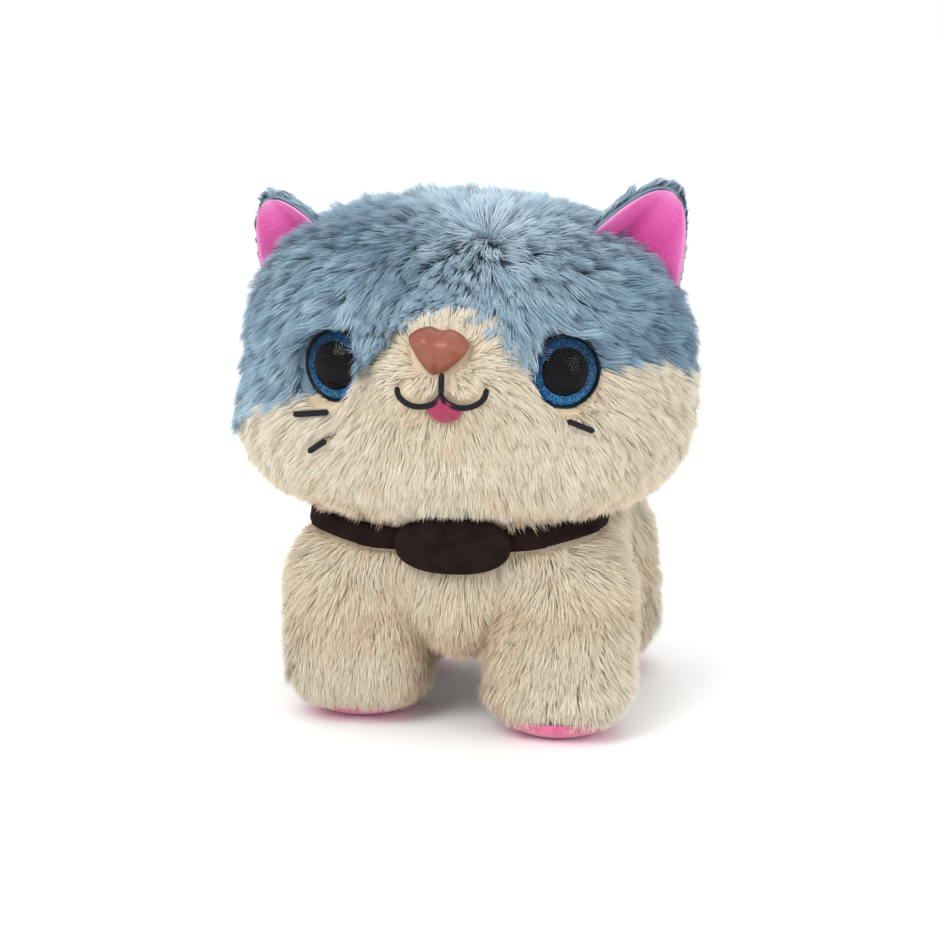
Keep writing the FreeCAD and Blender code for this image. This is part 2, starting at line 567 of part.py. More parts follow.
def leg(end, side_name):
    """A plush leg on a slotted link.  Legs that are diagonal to each other stand at the same angle."""
    side = SIDES[side_name]
    label = f"leg_{end}_{side_name}"
    forward = (end == "front") == (side > 0)
    swing = -size("stride_angle") if forward else size("stride_angle")
    hip = f"hip_{end}"
    lean = math.tan(math.radians(swing))
    sections = []
    for name, height, half_width, half_length in (
            ("sole", "sole_height", "ankle_half_width", "ankle_half_length"),
            ("bulge", "leg_bulge_height", "bulge_half_width", "bulge_half_length"),
            ("thigh", "leg_top", "thigh_half_width", "thigh_half_length")):
        ring = doc.addObject("Part::Ellipse", f"{label}_{name}_ring")
        put(ring, (f"{side} * leg_centre", f"{hip} + {lean} * (hip_height - {height})", height))
        sections.append(bind(ring, {"MajorRadius": half_width, "MinorRadius": half_length}))
    column = doc.addObject("Part::Loft", label + "_column")
    column.Sections = sections
    column.Solid = True
    shoulder = ellipsoid(label + "_shoulder", (f"{side} * leg_inner", hip, "hip_height"),
                         ("shoulder_reach", "shoulder_radius", "shoulder_radius"))
    low_x, high_x = either_side(side, 0, "leg_inner")
    ledge = box(label + "_ledge", (low_x, f"{hip} - pocket_reach / 2", "leg_ledge"),
                (high_x, f"{hip} + pocket_reach / 2", "pocket_reach"))
    link = leg_link(label, end, side, swing)
    node(cut(label + "_plush", fuse(label + "_stuffing", [column, shoulder]), [ledge, link]), label + "_plush")
    pad_face = doc.addObject("Part::Ellipse", label + "_sole_rim")
    put(pad_face, (f"{side} * leg_centre", f"{hip} + {lean} * hip_height", 0))
    bind(pad_face, {"MajorRadius": "sole_half_width", "MinorRadius": "sole_half_length"})
    pad = doc.addObject("Part::Extrusion", label + "_sole")
    pad.Base = pad_face
    pad.DirMode = "Custom"
    pad.Dir = Vector(0, 0, 1)
    pad.Solid = True
    bind(pad, {"LengthFwd": "sole_height"})
    node(pad, label + "_sole")
    return leg_pocket(label, side, hip)


def leg_link(label, end, side, swing):
    """The flat link in a leg: a hub, a shin down into the plush, and a slotted lever to the crank."""
    inner = f"{end}_link_inner"
    low_x, high_x = either_side(side, inner, f"{inner} + link_thickness")
    reach = f"{lever_length} + lever_overrun"
    lever_span = (0, reach) if end == "front" else (f"-({reach})", 0)
    slot_middle = lever_length if end == "front" else -lever_length
    lever = box(label + "_lever", (low_x, lever_span[0], "-lever_half_height"),
                (high_x, lever_span[1], "lever_half_height"))
    shin = box(label + "_shin", (low_x, "-shin_half_width", "shin_bottom - hip_height"),
               (high_x, "shin_half_width", 0))
    hub_low, hub_high = either_side(side, "link_slot_inner + link_side_gap",
                                    "link_slot_outer - link_side_gap")
    hub = rod(label + "_hub", "hub_radius", (hub_low, 0, 0), f"({hub_high}) - ({hub_low})", "x")
    bore = rod(label + "_hub_bore", "hip_pin_radius + running_gap", (hub_low, 0, 0),
               f"({hub_high}) - ({hub_low})", "x")
    slot = box(label + "_slot", (low_x, f"{slot_middle} - lever_slot_length / 2", "-lever_slot_width / 2"),
               (high_x, f"{slot_middle} + lever_slot_length / 2", "lever_slot_width / 2"))
    link = cut(label + "_link", fuse(label + "_link_solid", [lever, shin, hub]), [bore, slot])
    put(link, (0, f"hip_{end}", "hip_height"), Rotation(Vector(1, 0, 0), swing))
    return node(link, label + "_link")


def leg_pocket(label, side, hip):
    """The hollow in the body's side that the top of a leg turns in."""
    ball = ellipsoid(label + "_ball_room", (f"{side} * link_slot_outer", hip, "hip_height"),
                     ("shoulder_reach + pocket_gap", "shoulder_radius + pocket_gap",
                      "shoulder_radius + pocket_gap"))
    low_x, high_x = either_side(side, "link_slot_outer - 0.1", "pocket_reach")
    return common(label + "_pocket", ball, box(label + "_pocket_side", (low_x, f"{hip} - pocket_reach / 2", 0),
                                               (high_x, f"{hip} + pocket_reach / 2", "pocket_reach")))


# ---- head ----

NOD_PIVOT = Vector(0, size("nod_along"), size("nod_height"))
NECK_LOBES = ("head", "cheek")


def lobe(name, part, grow=0):
    """One of the head's three round volumes, optionally a little larger."""
    radii = [f"{part}_half_{way} + {grow}" for way in ("width", "depth", "height")]
    return ellipsoid(name, (0, f"{part}_along", f"{part}_height"), radii)


def head_room():
    """The space that the underside of the head sweeps as it nods, with a gap round it."""
    swept = []
    for number, angle in enumerate((size("nod_up"), size("nod_up") / 2, 0.0, size("nod_down"))):
        turn = Rotation(Vector(1, 0, 0), angle)
        for part in NECK_LOBES:
            thing = lobe(f"{part}_room_{number}", part, size("neck_gap"))
            centre = Vector(0, size(f"{part}_along"), size(f"{part}_height"))
            moved = NOD_PIVOT + turn.multVec(centre - NOD_PIVOT)
            put(thing, (moved.x, moved.y, moved.z), turn)
            swept.append(thing)
    return swept


def eye(side_name):
    """A domed eye over a painted disc, with a flange and a stem that a washer locks on."""
    side = SIDES[side_name]
    yaw = math.radians(size("eye_yaw"))
    outward = Vector(side * math.sin(yaw), -math.cos(yaw), 0)
    turn = Rotation(Vector(0, 0, 1), outward)
    seat = (f"{side} * eye_side", "eye_along", "eye_height")

    def turned(thing, offset):
        place = [f"{start} + ({part} * ({offset}))" for start, part in zip(seat, outward)]
        return put(thing, place, turn)

    def disc(name, radius, near, far):
        thing = turned(doc.addObject("Part::Cylinder", f"{name}_{side_name}"), near)
        return bind(thing, {"Radius": radius, "Height": f"({far}) - ({near})"})

    curve = "(eye_radius^2 + eye_dome_height^2) / (2 * eye_dome_height)"
    ball = turned(doc.addObject("Part::Sphere", f"eye_ball_{side_name}"), f"eye_dome_height - {curve}")
    bind(ball, {"Radius": curve})
    dome = common(f"eye_{side_name}_dome", ball, disc("eye_front", "eye_rim_radius", 0, "eye_dome_height + 1"))
    node(dome, f"eye_{side_name}_dome")
    node(disc("eye_iris", "eye_radius", -1, 0), f"eye_{side_name}_iris")
    flange = disc("eye_flange", "eye_rim_radius", "-eye_flange_back", -1)
    stem = disc("eye_stem", "eye_stem_radius", "-eye_stem_end", "-eye_flange_back")
    back = fuse(f"eye_back_{side_name}", [flange, stem])
    washer_blank = disc("eye_washer_blank", "washer_radius", "-washer_far", "-washer_near")
    washer_hole = disc("eye_washer_hole", "eye_stem_radius", "-washer_far", "-washer_near")
    washer = cut(f"eye_washer_{side_name}", washer_blank, [washer_hole])
    socket = fuse(f"eye_socket_{side_name}", [
        disc("eye_opening", "eye_rim_radius", "-eye_flange_back", "eye_opening_reach"),
        disc("eye_stem_hole", "eye_stem_radius", "-eye_stem_end", "-eye_flange_back"),
        disc("eye_washer_room", "washer_radius", "-washer_far", "-washer_near")])
    return back, washer, socket


def skull():
    """A hard shell inside the head, open below for the neck, with two bosses for the neck pin."""
    centre = (0, "head_along", "skull_height")
    outer_radii = ("skull_half_width", "skull_half_depth", "skull_half_height")
    outer = ellipsoid("skull_outer", centre, outer_radii)
    inner = ellipsoid("skull_inner", centre, [f"{radius} - skull_wall" for radius in outer_radii])
    bar = rod("skull_bar", "skull_boss_radius", ("-skull_half_width", "nod_along", "nod_height"),
              "2 * skull_half_width", "x")
    gap = box("skull_gap",
              ("-skull_boss_inner", "nod_along - 2 * skull_boss_radius", "nod_height - 2 * skull_boss_radius"),
              ("skull_boss_inner", "nod_along + 2 * skull_boss_radius", "nod_height + 2 * skull_boss_radius"))
    bosses = common("skull_bosses", cut("skull_bar_split", bar, [gap]),
                    ellipsoid("skull_trim", centre, outer_radii))
    bore = rod("skull_bore", "neck_pin_radius", ("-neck_pin_half_length", "nod_along", "nod_height"),
               "2 * neck_pin_half_length", "x")
    mouth = neck_slot("skull_mouth")
    node(cut("head_skull", fuse("skull_solid", [cut("skull_shell", outer, [inner]), bosses]), [bore, mouth]),
         "head_skull")
    node(rod("neck_pin", "neck_pin_radius", ("-neck_pin_half_length", "nod_along", "nod_height"),
             "2 * neck_pin_half_length", "x"), "neck_pin")
    return ellipsoid("skull_room", centre, outer_radii)


def neck_slot(name):
    """The opening under the head that leaves room for the neck as the head nods."""
    return box(name, ("-neck_slot_half_width", "neck_slot_front", "neck_slot_low"),
               ("neck_slot_half_width", "neck_slot_back", "neck_slot_high"))


def neck_post():
    """The post on the chassis that carries the head."""
    post = box("neck_column", ("-post_half_width", "nod_along - post_half_width", "deck_low"),
               ("post_half_width", "nod_along + post_half_width", "nod_height + 4"))
    bore = rod("neck_bore", "neck_pin_radius + running_gap", ("-post_half_width", "nod_along", "nod_height"),
               "2 * post_half_width", "x")
    node(cut("neck_post", post, [bore]), "neck_post")


def nose(head_form):
    """A moulded nose on a stem, with its lock washer inside the face."""
    tip = ellipsoid("nose_tip", (0, "nose_along", "nose_height"),
                    ("nose_half_width", "nose_half_depth", "nose_half_height"))
    stem = rod("nose_stem", "nose_stem_radius", (0, "nose_along", "nose_height"),
               "nose_stem_back - nose_along", "y")
    outside = cut("nose_outside", tip, [head_form])
    node(fuse("nose", [outside, stem]), "nose")
    blank = rod("nose_washer_blank", "nose_washer_radius", (0, "nose_washer_front", "nose_height"),
                "nose_washer_back - nose_washer_front", "y")
    hole = rod("nose_washer_hole", "nose_stem_radius", (0, "nose_washer_front", "nose_height"),
               "nose_washer_back - nose_washer_front", "y")
    washer = cut("nose_washer_ring", blank, [hole])
    stem_hole = rod("nose_stem_hole", "nose_stem_radius", (0, "nose_along - nose_half_depth", "nose_height"),
                    "nose_stem_back - nose_along + nose_half_depth", "y")
    room = rod("nose_washer_room", "nose_washer_radius", (0, "nose_washer_front", "nose_height"),
               "nose_washer_back - nose_washer_front", "y")
    return washer, [stem_hole, room]


def stitches(head_form):
    """Mouth, whiskers and tongue: thin pieces that follow the skin of the muzzle and cheeks."""
    muzzle_thread = lobe("muzzle_thread", "muzzle", size("thread_radius"))
    depth = "muzzle_along - face_front"
    lips = []
    for side_name, side in SIDES.items():
        centre = (f"{side} * (lip_radius - thread_radius / 2)", "face_front", "lip_height")
        ring = cut(f"lip_ring_{side_name}",
                   rod(f"lip_outer_{side_name}", "lip_radius + thread_radius", centre, depth, "y"),
                   [rod(f"lip_inner_{side_name}", "lip_radius - thread_radius", centre, depth, "y"),
                    box(f"lip_above_{side_name}", ("-seam_eye", "face_front", "lip_height"),
                        ("seam_eye", "muzzle_along", "ear_height"))])
        lips.append(ring)
    lips.append(box("philtrum", ("-thread_radius", "face_front", "lip_height - 2"),
                    ("thread_radius", "nose_washer_front", "philtrum_top")))
    proud = common("mouth_proud", muzzle_thread, fuse("mouth_pattern", lips))
    node(cut("mouth_stitching", proud, [head_form]), "mouth_stitching")
    lower = lobe("muzzle_felt", "muzzle", size("tongue_thickness"))
    felt = cut("tongue_pattern",
               rod("tongue_round", "tongue_radius", (0, "face_front", "tongue_height"), depth, "y"),
               [rod(f"tongue_lip_{side_name}", "lip_radius + thread_radius",
                    (f"{side} * (lip_radius - thread_radius / 2)", "face_front", "lip_height"), depth, "y")
                for side_name, side in SIDES.items()]
               + [box("tongue_above", ("-seam_eye", "face_front", "tongue_top"),
                      ("seam_eye", "muzzle_along", "ear_height"))])
    node(cut("tongue", common("tongue_proud", lower, felt), [head_form]), "tongue")
    cheek_thread = lobe("cheek_thread", "cheek", size("thread_radius"))
    bars = []
    for side_name, side in SIDES.items():
        for name, height, length, tilt in (("high", "whisker_high", "whisker_long", 1),
                                           ("low", "whisker_low", "whisker_short", -2)):
            bar = doc.addObject("Part::Box", f"whisker_{name}_{side_name}")
            put(bar, (f"{side} * whisker_side - {length} / 2", "face_front", f"{height} - thread_radius"),
                Rotation(Vector(0, 1, 0), side * tilt * size("whisker_tilt")))
            bars.append(bind(bar, {"Length": length, "Width": "head_along - face_front - whisker_depth",
                                   "Height": "2 * thread_radius"}))
    whisker_proud = common("whisker_proud", cheek_thread, fuse("whisker_pattern", bars))
    node(cut("whisker_stitching", whisker_proud, [head_form]), "whisker_stitching")


def ear(head_form):
    """An ear on each side: a plush back and a thin lining on its front, both ended at the head's skin."""
    turn = Rotation(Vector(0, 1, 0), size("ear_tilt")) * Rotation(Vector(0, 0, 1), size("ear_yaw"))
    layers = (("back", "ear_half_base", "ear_apex", "ear_apex_round", "ear_thickness", False),
              ("lining", "lining_half_base", "lining_apex", "lining_apex_round", "lining_thickness", True))
    for name, half_base, apex, rounding, thickness, in_front in layers:
        corners = [((-1, half_base), (1, "ear_base_drop")), ((1, half_base), (1, "ear_base_drop")),
                   ((0, half_base), (1, apex))]
        # a pad on the XZ plane grows towards -Y, the front of the ear
        sheet_body = prism(f"ear_{name}_form", "XZ_Plane", corners, thickness, not in_front)
        doc.recompute()
        ridge = next(number for number, edge in enumerate(sheet_body.Shape.Edges, start=1)
                     if edge.BoundBox.ZLength < 1e-6 and abs(edge.BoundBox.ZMin - size(apex)) < 1e-6)
        rounded = doc.addObject("Part::Fillet", f"ear_{name}_rounded")
        rounded.Base = sheet_body
        rounded.Edges = [(ridge, size(rounding), size(rounding))]
        put(rounded, ("ear_side", "ear_along", "ear_height"), turn)
        left = cut(f"ear_left_{name}", rounded, [head_form])
        node(left, f"ear_left_{name}")
        node(mirrored(f"ear_right_{name}", left), f"ear_right_{name}")


def head():
    """The stuffed head: a crown and a face panel round a hard skull, with everything fixed to them."""
    head_form = fuse("head_form", [lobe(f"{part}_form", part) for part in ("head", "cheek", "muzzle")])
    eye_backs, eye_washers, sockets = zip(*[eye(side_name) for side_name in SIDES])
    node(group("eye_stems", list(eye_backs)), "eye_stems")
    nose_washer, nose_rooms = nose(head_form)
    node(group("lock_washers", list(eye_washers) + [nose_washer]), "lock_washers")
    skull_room = skull()
    button_room = touch_button("head_button", "head_along", "head_button_stem", "head_button_low",
                               "head_button_top")
    seam = [((-1, "seam_side"), (1, "seam_side_height")), ((-1, "seam_eye"), (1, "seam_eye_height")),
            ((-1, "seam_bridge"), (1, "seam_bridge_height")), ((-1, "seam_top"), (1, "seam_top_height"))]
    seam += [((1, across), (1, height)) for (_, across), (_, height) in reversed(seam)]
    seam += [((1, "seam_side"), (1, "seam_bottom_height")), ((-1, "seam_side"), (1, "seam_bottom_height"))]
    face_room = prism("face_room", "XZ_Plane", seam, "face_panel_depth", False)
    rooms = [skull_room, neck_slot("neck_opening"), button_room, *sockets, *nose_rooms]
    inside = fuse("head_inside", rooms)
    stuffed = cut("head_stuffed", head_form, [inside])
    node(cut("crown_plush", stuffed, [face_room]), "crown_plush")
    node(common("face_plush", stuffed, face_room), "face_plush")
    stitches(head_form)
    ear(head_form)


# ---- tail ----

def tail():
    """A curved tail on a ball, turned by a lever that reaches into the chassis."""
    bend = doc.addObject("Part::Torus", "tail_bend_form")
    bend.Angle1 = -180
    bend.Angle2 = 180
    bend.Angle3 = 90
    # the ring lies in the side view, from straight back at the ball to straight up at the tip
    upright = Rotation(Vector(0, 0, -1), Vector(0, 1, 0), Vector(1, 0, 0))
    put(bend, (0, "tail_along", "tail_height + tail_bend"), upright)
    bind(bend, {"Radius1": "tail_bend", "Radius2": "tail_radius"})
    ball = put(doc.addObject("Part::Sphere", "tail_ball_form"), (0, "tail_along", "tail_height"))
    bind(ball, {"Radius": "tail_ball"})
    end = put(doc.addObject("Part::Sphere", "tail_end_form"),
              (0, "tail_along + tail_bend", "tail_height + tail_bend"))
    bind(end, {"Radius": "tail_radius"})
    lever_post = rod("tail_post", "tail_hub_radius", (0, "tail_along", "tail_hub_bottom"),
                     "tail_post_top - tail_hub_bottom", "z")
    post_hole = rod("tail_post_hole", "tail_hub_radius", (0, "tail_along", "tail_hub_bottom"),
                    "tail_post_top - tail_hub_bottom", "z")
    node(cut("tail_plush", fuse("tail_stuffing", [bend, ball, end]), [post_hole]), "tail_plush")
    arm = box("tail_arm", ("-tail_arm_half_width", "tail_arm_front", "tail_arm_low"),
              ("tail_arm_half_width", "tail_along", "tail_arm_high"))
    bore = rod("tail_bore", "tail_pin_radius + running_gap", (0, "tail_along", "tail_hub_bottom"),
               "tail_pin_top - tail_hub_bottom + 0.5", "z")
    node(cut("tail_lever", fuse("tail_lever_solid", [lever_post, arm]), [bore]), "tail_lever")
    shelf = box("tail_shelf",
                ("-tail_shelf_half_width", "chassis_back", "tail_shelf_top - tail_shelf_thickness"),
                ("tail_shelf_half_width", "tail_along + tail_hub_radius", "tail_shelf_top"))
    pin = rod("tail_pin", "tail_pin_radius", (0, "tail_along", "tail_shelf_top"),
              "tail_pin_top - tail_shelf_top", "z")
    node(fuse("tail_bracket", [shelf, pin]), "tail_bracket")
    ball_room = put(doc.addObject("Part::Sphere", "tail_ball_room"), (0, "tail_along", "tail_height"))
    bind(ball_room, {"Radius": "tail_ball + tail_gap"})
    lever_room = box("tail_lever_room",
                     ("-tail_room_half_width", "chassis_back", "tail_shelf_top - tail_shelf_thickness"),
                     ("tail_room_half_width", "tail_along + tail_hub_radius + tail_gap", "tail_height"))
    return [ball_room, lever_room]


# ---- collar ----

def collar():
    """A strap round the neck: a thin shell about the body, kept only along a bent strip."""
    def offset_block(name, gap):
        low = ["-torso_half_width", "torso_front", "torso_bottom"]
        high = ["torso_half_width", "torso_back", "torso_top"]
        return rounded_box(name, [f"{text} - {gap}" for text in low], [f"{text} + {gap}" for text in high],
                           size("torso_round") + gap)
    gap, thickness = size("collar_gap"), size("collar_thickness")
    shell = cut("collar_shell", offset_block("collar_outer", gap + thickness),
                [offset_block("collar_inner", gap)])
    slope, rise = math.radians(size("collar_slope")), math.radians(size("collar_rise"))
    half, radius = size("collar_width") / 2, size("collar_bend_radius")
    front = Vector(0, size("collar_start"), size("collar_front_height"))
    bend = front + polar(size("collar_bend") - size("collar_start"), slope)
    hinge = bend + polar(radius, slope + math.pi / 2)

    def edge_line(offset):
        """The strip's edge at a distance from its middle line: a run, an arc and a steeper run."""
        turn = radius - offset
        first = front + polar(offset, slope + math.pi / 2)
        start, end = hinge + polar(turn, slope - math.pi / 2), hinge + polar(turn, rise - math.pi / 2)
        middle = hinge + polar(turn, (slope + rise - math.pi) / 2)
        last = end + polar(size("collar_run"), rise)
        arc = Part.Arc(start, middle, end).toShape()
        return [Part.makeLine(first, start), arc, Part.makeLine(end, last)], first, last

    lower, low_first, low_last = edge_line(-half)
    upper, high_first, high_last = edge_line(half)
    outline = Part.Wire(Part.sortEdges(lower + upper + [Part.makeLine(low_first, high_first),
                                                        Part.makeLine(low_last, high_last)])[0])
    reach = 2 * size("torso_half_width")
    strip = solid("collar_strip", Part.Face(outline).extrude(Vector(2 * reach, 0, 0)), (-reach, 0, 0))
    node(common("collar_strap", shell, strip), "collar_strap")
    pillow = ellipsoid("medallion_pillow", (0, "medallion_back", "medallion_height"),
                       ("medallion_half_width", "medallion_depth", "medallion_half_height"))
    front_half = box("medallion_front", ("-torso_half_width", "face_front", "torso_bottom"),
                     ("torso_half_width", "medallion_back", "torso_top"))
    node(common("collar_medallion", pillow, front_half), "collar_medallion")


# ---- body ----

def torso(pockets):
    """The stuffed body round the chassis, with room for everything that moves in it."""
    block = rounded_box("torso_form", ("-torso_half_width", "torso_front", "torso_bottom"),
                        ("torso_half_width", "torso_back", "torso_top"), size("torso_round"))
    rooms = [chassis_form(f"chassis_room_{side_name}", side) for side_name, side in SIDES.items()]
    for side_name, side in SIDES.items():
        low_x, high_x = either_side(side, "link_slot_inner", "link_slot_outer")
        rooms.append(box(f"link_room_{side_name}", (low_x, "link_room_front", "under_body"),
                         (high_x, "link_room_back", "link_room_top")))
    rooms.append(box("door_room", ("-door_half_width - door_gap", "door_front - door_gap", "under_body"),
                     ("door_half_width + door_gap", "door_back + door_gap", "keel_low")))
    rooms.append(box("neck_room", ("-post_half_width", "nod_along - post_half_width", "deck_low"),
                     ("post_half_width", "nod_along + post_half_width", "neck_room_top")))
    rooms.append(box("switch_reach", ("-2 * switch_slot_half_width", "switch_front + door_gap", "under_body"),
                     ("2 * switch_slot_half_width", "switch_back", "keel_low")))
    node(cut("torso_plush", block, rooms + pockets + head_room()), "torso_plush")


for half_name, half_side in SIDES.items():
    chassis_half(f"chassis_{half_name}_half", half_side)
chassis_screws()
hip_pins()
crank()
gear_train()
motor()
batteries()
battery_door()
circuit_board()
speaker()
power_switch()
neck_post()
moving_rooms = [leg(end, side_name) for end in ("front", "back") for side_name in SIDES]
moving_rooms += tail()
moving_rooms.append(touch_button("back_button", "back_button_along", "back_button_stem", "back_button_low",
                                 "back_button_top"))
collar()
torso(moving_rooms)
head()

doc.recompute()
faulty = [thing.Name for thing in doc.Objects if "Invalid" in thing.State or "Error" in thing.State]
if faulty:
    raise RuntimeError(f"failed to recompute: {faulty}")
for piece in nodes:
    if piece.Shape.isNull() or not piece.Shape.isValid():
        raise RuntimeError(f"{piece.Label} has no valid shape")
for piece in nodes:
    piece.Shape.exportStep(f"parts/{piece.Label}.step")
print(f"{len(nodes)} sub-parts written")
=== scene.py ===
import json
import math
from collections import namedtuple

import bmesh
import bpy
import numpy as np
from mathutils import Matrix, Vector
from mathutils.kdtree import KDTree


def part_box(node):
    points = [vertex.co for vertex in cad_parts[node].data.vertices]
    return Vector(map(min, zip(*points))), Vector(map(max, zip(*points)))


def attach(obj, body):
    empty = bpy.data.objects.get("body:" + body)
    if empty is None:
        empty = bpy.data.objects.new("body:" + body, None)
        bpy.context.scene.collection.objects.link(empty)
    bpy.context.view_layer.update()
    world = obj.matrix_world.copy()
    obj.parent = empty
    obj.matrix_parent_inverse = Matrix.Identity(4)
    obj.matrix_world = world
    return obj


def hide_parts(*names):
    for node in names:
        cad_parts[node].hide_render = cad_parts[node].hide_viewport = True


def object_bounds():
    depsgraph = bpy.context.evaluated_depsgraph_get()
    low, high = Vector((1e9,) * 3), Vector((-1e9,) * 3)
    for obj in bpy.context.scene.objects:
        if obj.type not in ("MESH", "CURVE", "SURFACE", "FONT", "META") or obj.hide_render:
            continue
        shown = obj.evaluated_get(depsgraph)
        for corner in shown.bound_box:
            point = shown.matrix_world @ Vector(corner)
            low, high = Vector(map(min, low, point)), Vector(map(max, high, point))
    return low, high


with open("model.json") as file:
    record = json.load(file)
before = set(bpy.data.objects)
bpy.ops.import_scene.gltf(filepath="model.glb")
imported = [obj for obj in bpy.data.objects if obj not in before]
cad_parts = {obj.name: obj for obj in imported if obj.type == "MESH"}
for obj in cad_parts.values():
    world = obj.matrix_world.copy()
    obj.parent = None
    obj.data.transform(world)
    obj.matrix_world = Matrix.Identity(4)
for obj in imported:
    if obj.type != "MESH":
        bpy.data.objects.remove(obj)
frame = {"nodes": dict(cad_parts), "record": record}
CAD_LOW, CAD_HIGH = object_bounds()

# Lengths in this script are in millimetres until a mesh is made.
MM = 0.001
SIDES = {"left": 1, "right": -1}
Skin = namedtuple("Skin", "points faces normals")


def span(*nodes):
    """Lowest and highest corner of these CAD nodes together."""
    corners = np.array([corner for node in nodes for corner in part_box(node)]) / MM
    return corners.min(axis=0), corners.max(axis=0)


def unit(vectors):
    return vectors / np.maximum(np.linalg.norm(vectors, axis=-1, keepdims=True), 1e-9)


# ---- where things are, from the CAD ----

_, crown_high = span("crown_plush")
HEAD = np.array([0, crown_high[1] - 50, crown_high[2] - 52])
CHEEKS = HEAD + [0, -8, -22]
MUZZLE = HEAD + [0, -39, -1]
WHORL = HEAD + [12, -30, 43]

# ---- camera and light ----


AIM_HEIGHT = 0.458 * CAD_HIGH.z / MM


def camera(azimuth=9, elevation=12, distance=1000, lens=115):
    """A long lens a little above the animal and round to its left."""
    data = bpy.data.cameras.new("camera")
    data.sensor_width = 36
    data.lens = lens
    holder = bpy.data.objects.new("camera", data)
    bpy.context.scene.collection.objects.link(holder)
    turn, rise = math.radians(azimuth), math.radians(elevation)
    back = Vector((math.sin(turn) * math.cos(rise), -math.cos(turn) * math.cos(rise), math.sin(rise)))
    aim = Vector((0, HEAD[1], AIM_HEIGHT))
    holder.location = (aim + back * distance) * MM
    holder.rotation_euler = (-back).to_track_quat("-Z", "Y").to_euler()
    bpy.context.scene.camera = holder


def area_light(name, place, aim, power, size, tint=(1, 1, 1)):
    data = bpy.data.lights.new(name, "AREA")
    data.energy = power
    data.size = size
    data.color = tint
    holder = bpy.data.objects.new(name, data)
    bpy.context.scene.collection.objects.link(holder)
    holder.location = place
    holder.rotation_euler = (Vector(aim) - Vector(place)).to_track_quat("-Z", "Y").to_euler()


def studio():
    """Soft white light all round, a large soft box in front above, and a weaker one on each side."""
    world = bpy.data.worlds.new("studio")
    world.use_nodes = True
    world.node_tree.nodes["Background"].inputs["Color"].default_value = (1, 1, 1, 1)
    world.node_tree.nodes["Background"].inputs["Strength"].default_value = 1.02
    bpy.context.scene.world = world
    aim = (0, 0, 0.09)
    area_light("key", (-0.55, -1.1, 1.15), aim, 13, 0.9, (1, 0.985, 0.96))
    area_light("fill", (1.2, -0.8, 0.5), aim, 4, 0.9)
    area_light("back", (0.2, 1.2, 1.3), aim, 6, 1.0)
    bpy.context.scene.view_settings.view_transform = "Standard"


camera()
studio()

# ---- materials ----


def srgb(*values):
    linear = [v / 255 / 12.92 if v < 10.3 else ((v / 255 + 0.055) / 1.055) ** 2.4 for v in values]
    return (*linear, 1)


def ramp(tree, source, stops):
    """A colour ramp fed by a socket, with (place, colour) stops."""
    node = tree.nodes.new("ShaderNodeValToRGB")
    while len(node.color_ramp.elements) < len(stops):
        node.color_ramp.elements.new(0.5)
    for element, (place, colour) in zip(node.color_ramp.elements, stops):
        element.position = place
        element.color = colour
    tree.links.new(source, node.inputs["Fac"])
    return node.outputs["Color"]


def shader(name, roughness, **sockets):
    """A new material, its node tree and its Principled shader, with plain values on the shader's sockets."""
    made = bpy.data.materials.new(name)
    made.use_nodes = True
    principled = made.node_tree.nodes["Principled BSDF"]
    principled.inputs["Roughness"].default_value = roughness
    for socket, value in sockets.items():
        principled.inputs[socket.replace("_", " ")].default_value = value
    return made, made.node_tree, principled


def texture(tree, kind, scale, **inputs):
    """A procedural texture in the object's own metres."""
    node = tree.nodes.new(kind)
    coordinates = tree.nodes.new("ShaderNodeTexCoord")
    tree.links.new(coordinates.outputs["Object"], node.inputs["Vector"])
    node.inputs["Scale"].default_value = scale
    for socket, value in inputs.items():
        node.inputs[socket].default_value = value
    return node


def multiplied(tree, first, second):
    """Two colour sockets multiplied."""
    node = tree.nodes.new("ShaderNodeMix")
    node.data_type = "RGBA"
    node.blend_type = "MULTIPLY"
    node.inputs["Factor"].default_value = 1.0
    tree.links.new(first, node.inputs["A"])
    tree.links.new(second, node.inputs["B"])
    return node.outputs["Result"]


def bump(tree, principled, source, distance, strength=1.0):
    node = tree.nodes.new("ShaderNodeBump")
    node.inputs["Distance"].default_value = distance
    node.inputs["Strength"].default_value = strength
    tree.links.new(source, node.inputs["Height"])
    tree.links.new(node.outputs["Normal"], principled.inputs["Normal"])


def grained(name, dark, light, roughness, coarse, fine, relief, spread=0.25, **sockets):
    """A matt or glossy surface with soft mottling in its colour and a fine relief."""
    made, tree, principled = shader(name, roughness, **sockets)
    mottle = texture(tree, "ShaderNodeTexNoise", coarse, Detail=6.0)
    tone = ramp(tree, mottle.outputs["Fac"], [(0.5 - spread, dark), (0.5 + spread, light)])
    tree.links.new(tone, principled.inputs["Base Color"])
    grain = texture(tree, "ShaderNodeTexNoise", fine, Detail=4.0)
    bump(tree, principled, grain.outputs["Fac"], relief)
    return made


def pile_material(name, tones, roots):
    """Fur: its tone, random and with painted light and shade, runs across the strand's UV and its shade from
    root to tip along it.
    """
    made, tree, principled = shader(name, 0.85, Sheen_Weight=0.25, Sheen_Roughness=0.4,
                                    Specular_IOR_Level=0.2)
    layer = tree.nodes.new("ShaderNodeUVMap")
    layer.uv_map = "OFBake"
    parts = tree.nodes.new("ShaderNodeSeparateXYZ")
    tree.links.new(layer.outputs["UV"], parts.inputs[0])
    tone = multiplied(tree, ramp(tree, parts.outputs["X"], tones), ramp(tree, parts.outputs["Y"], roots))
    tree.links.new(tone, principled.inputs["Base Color"])
    return made
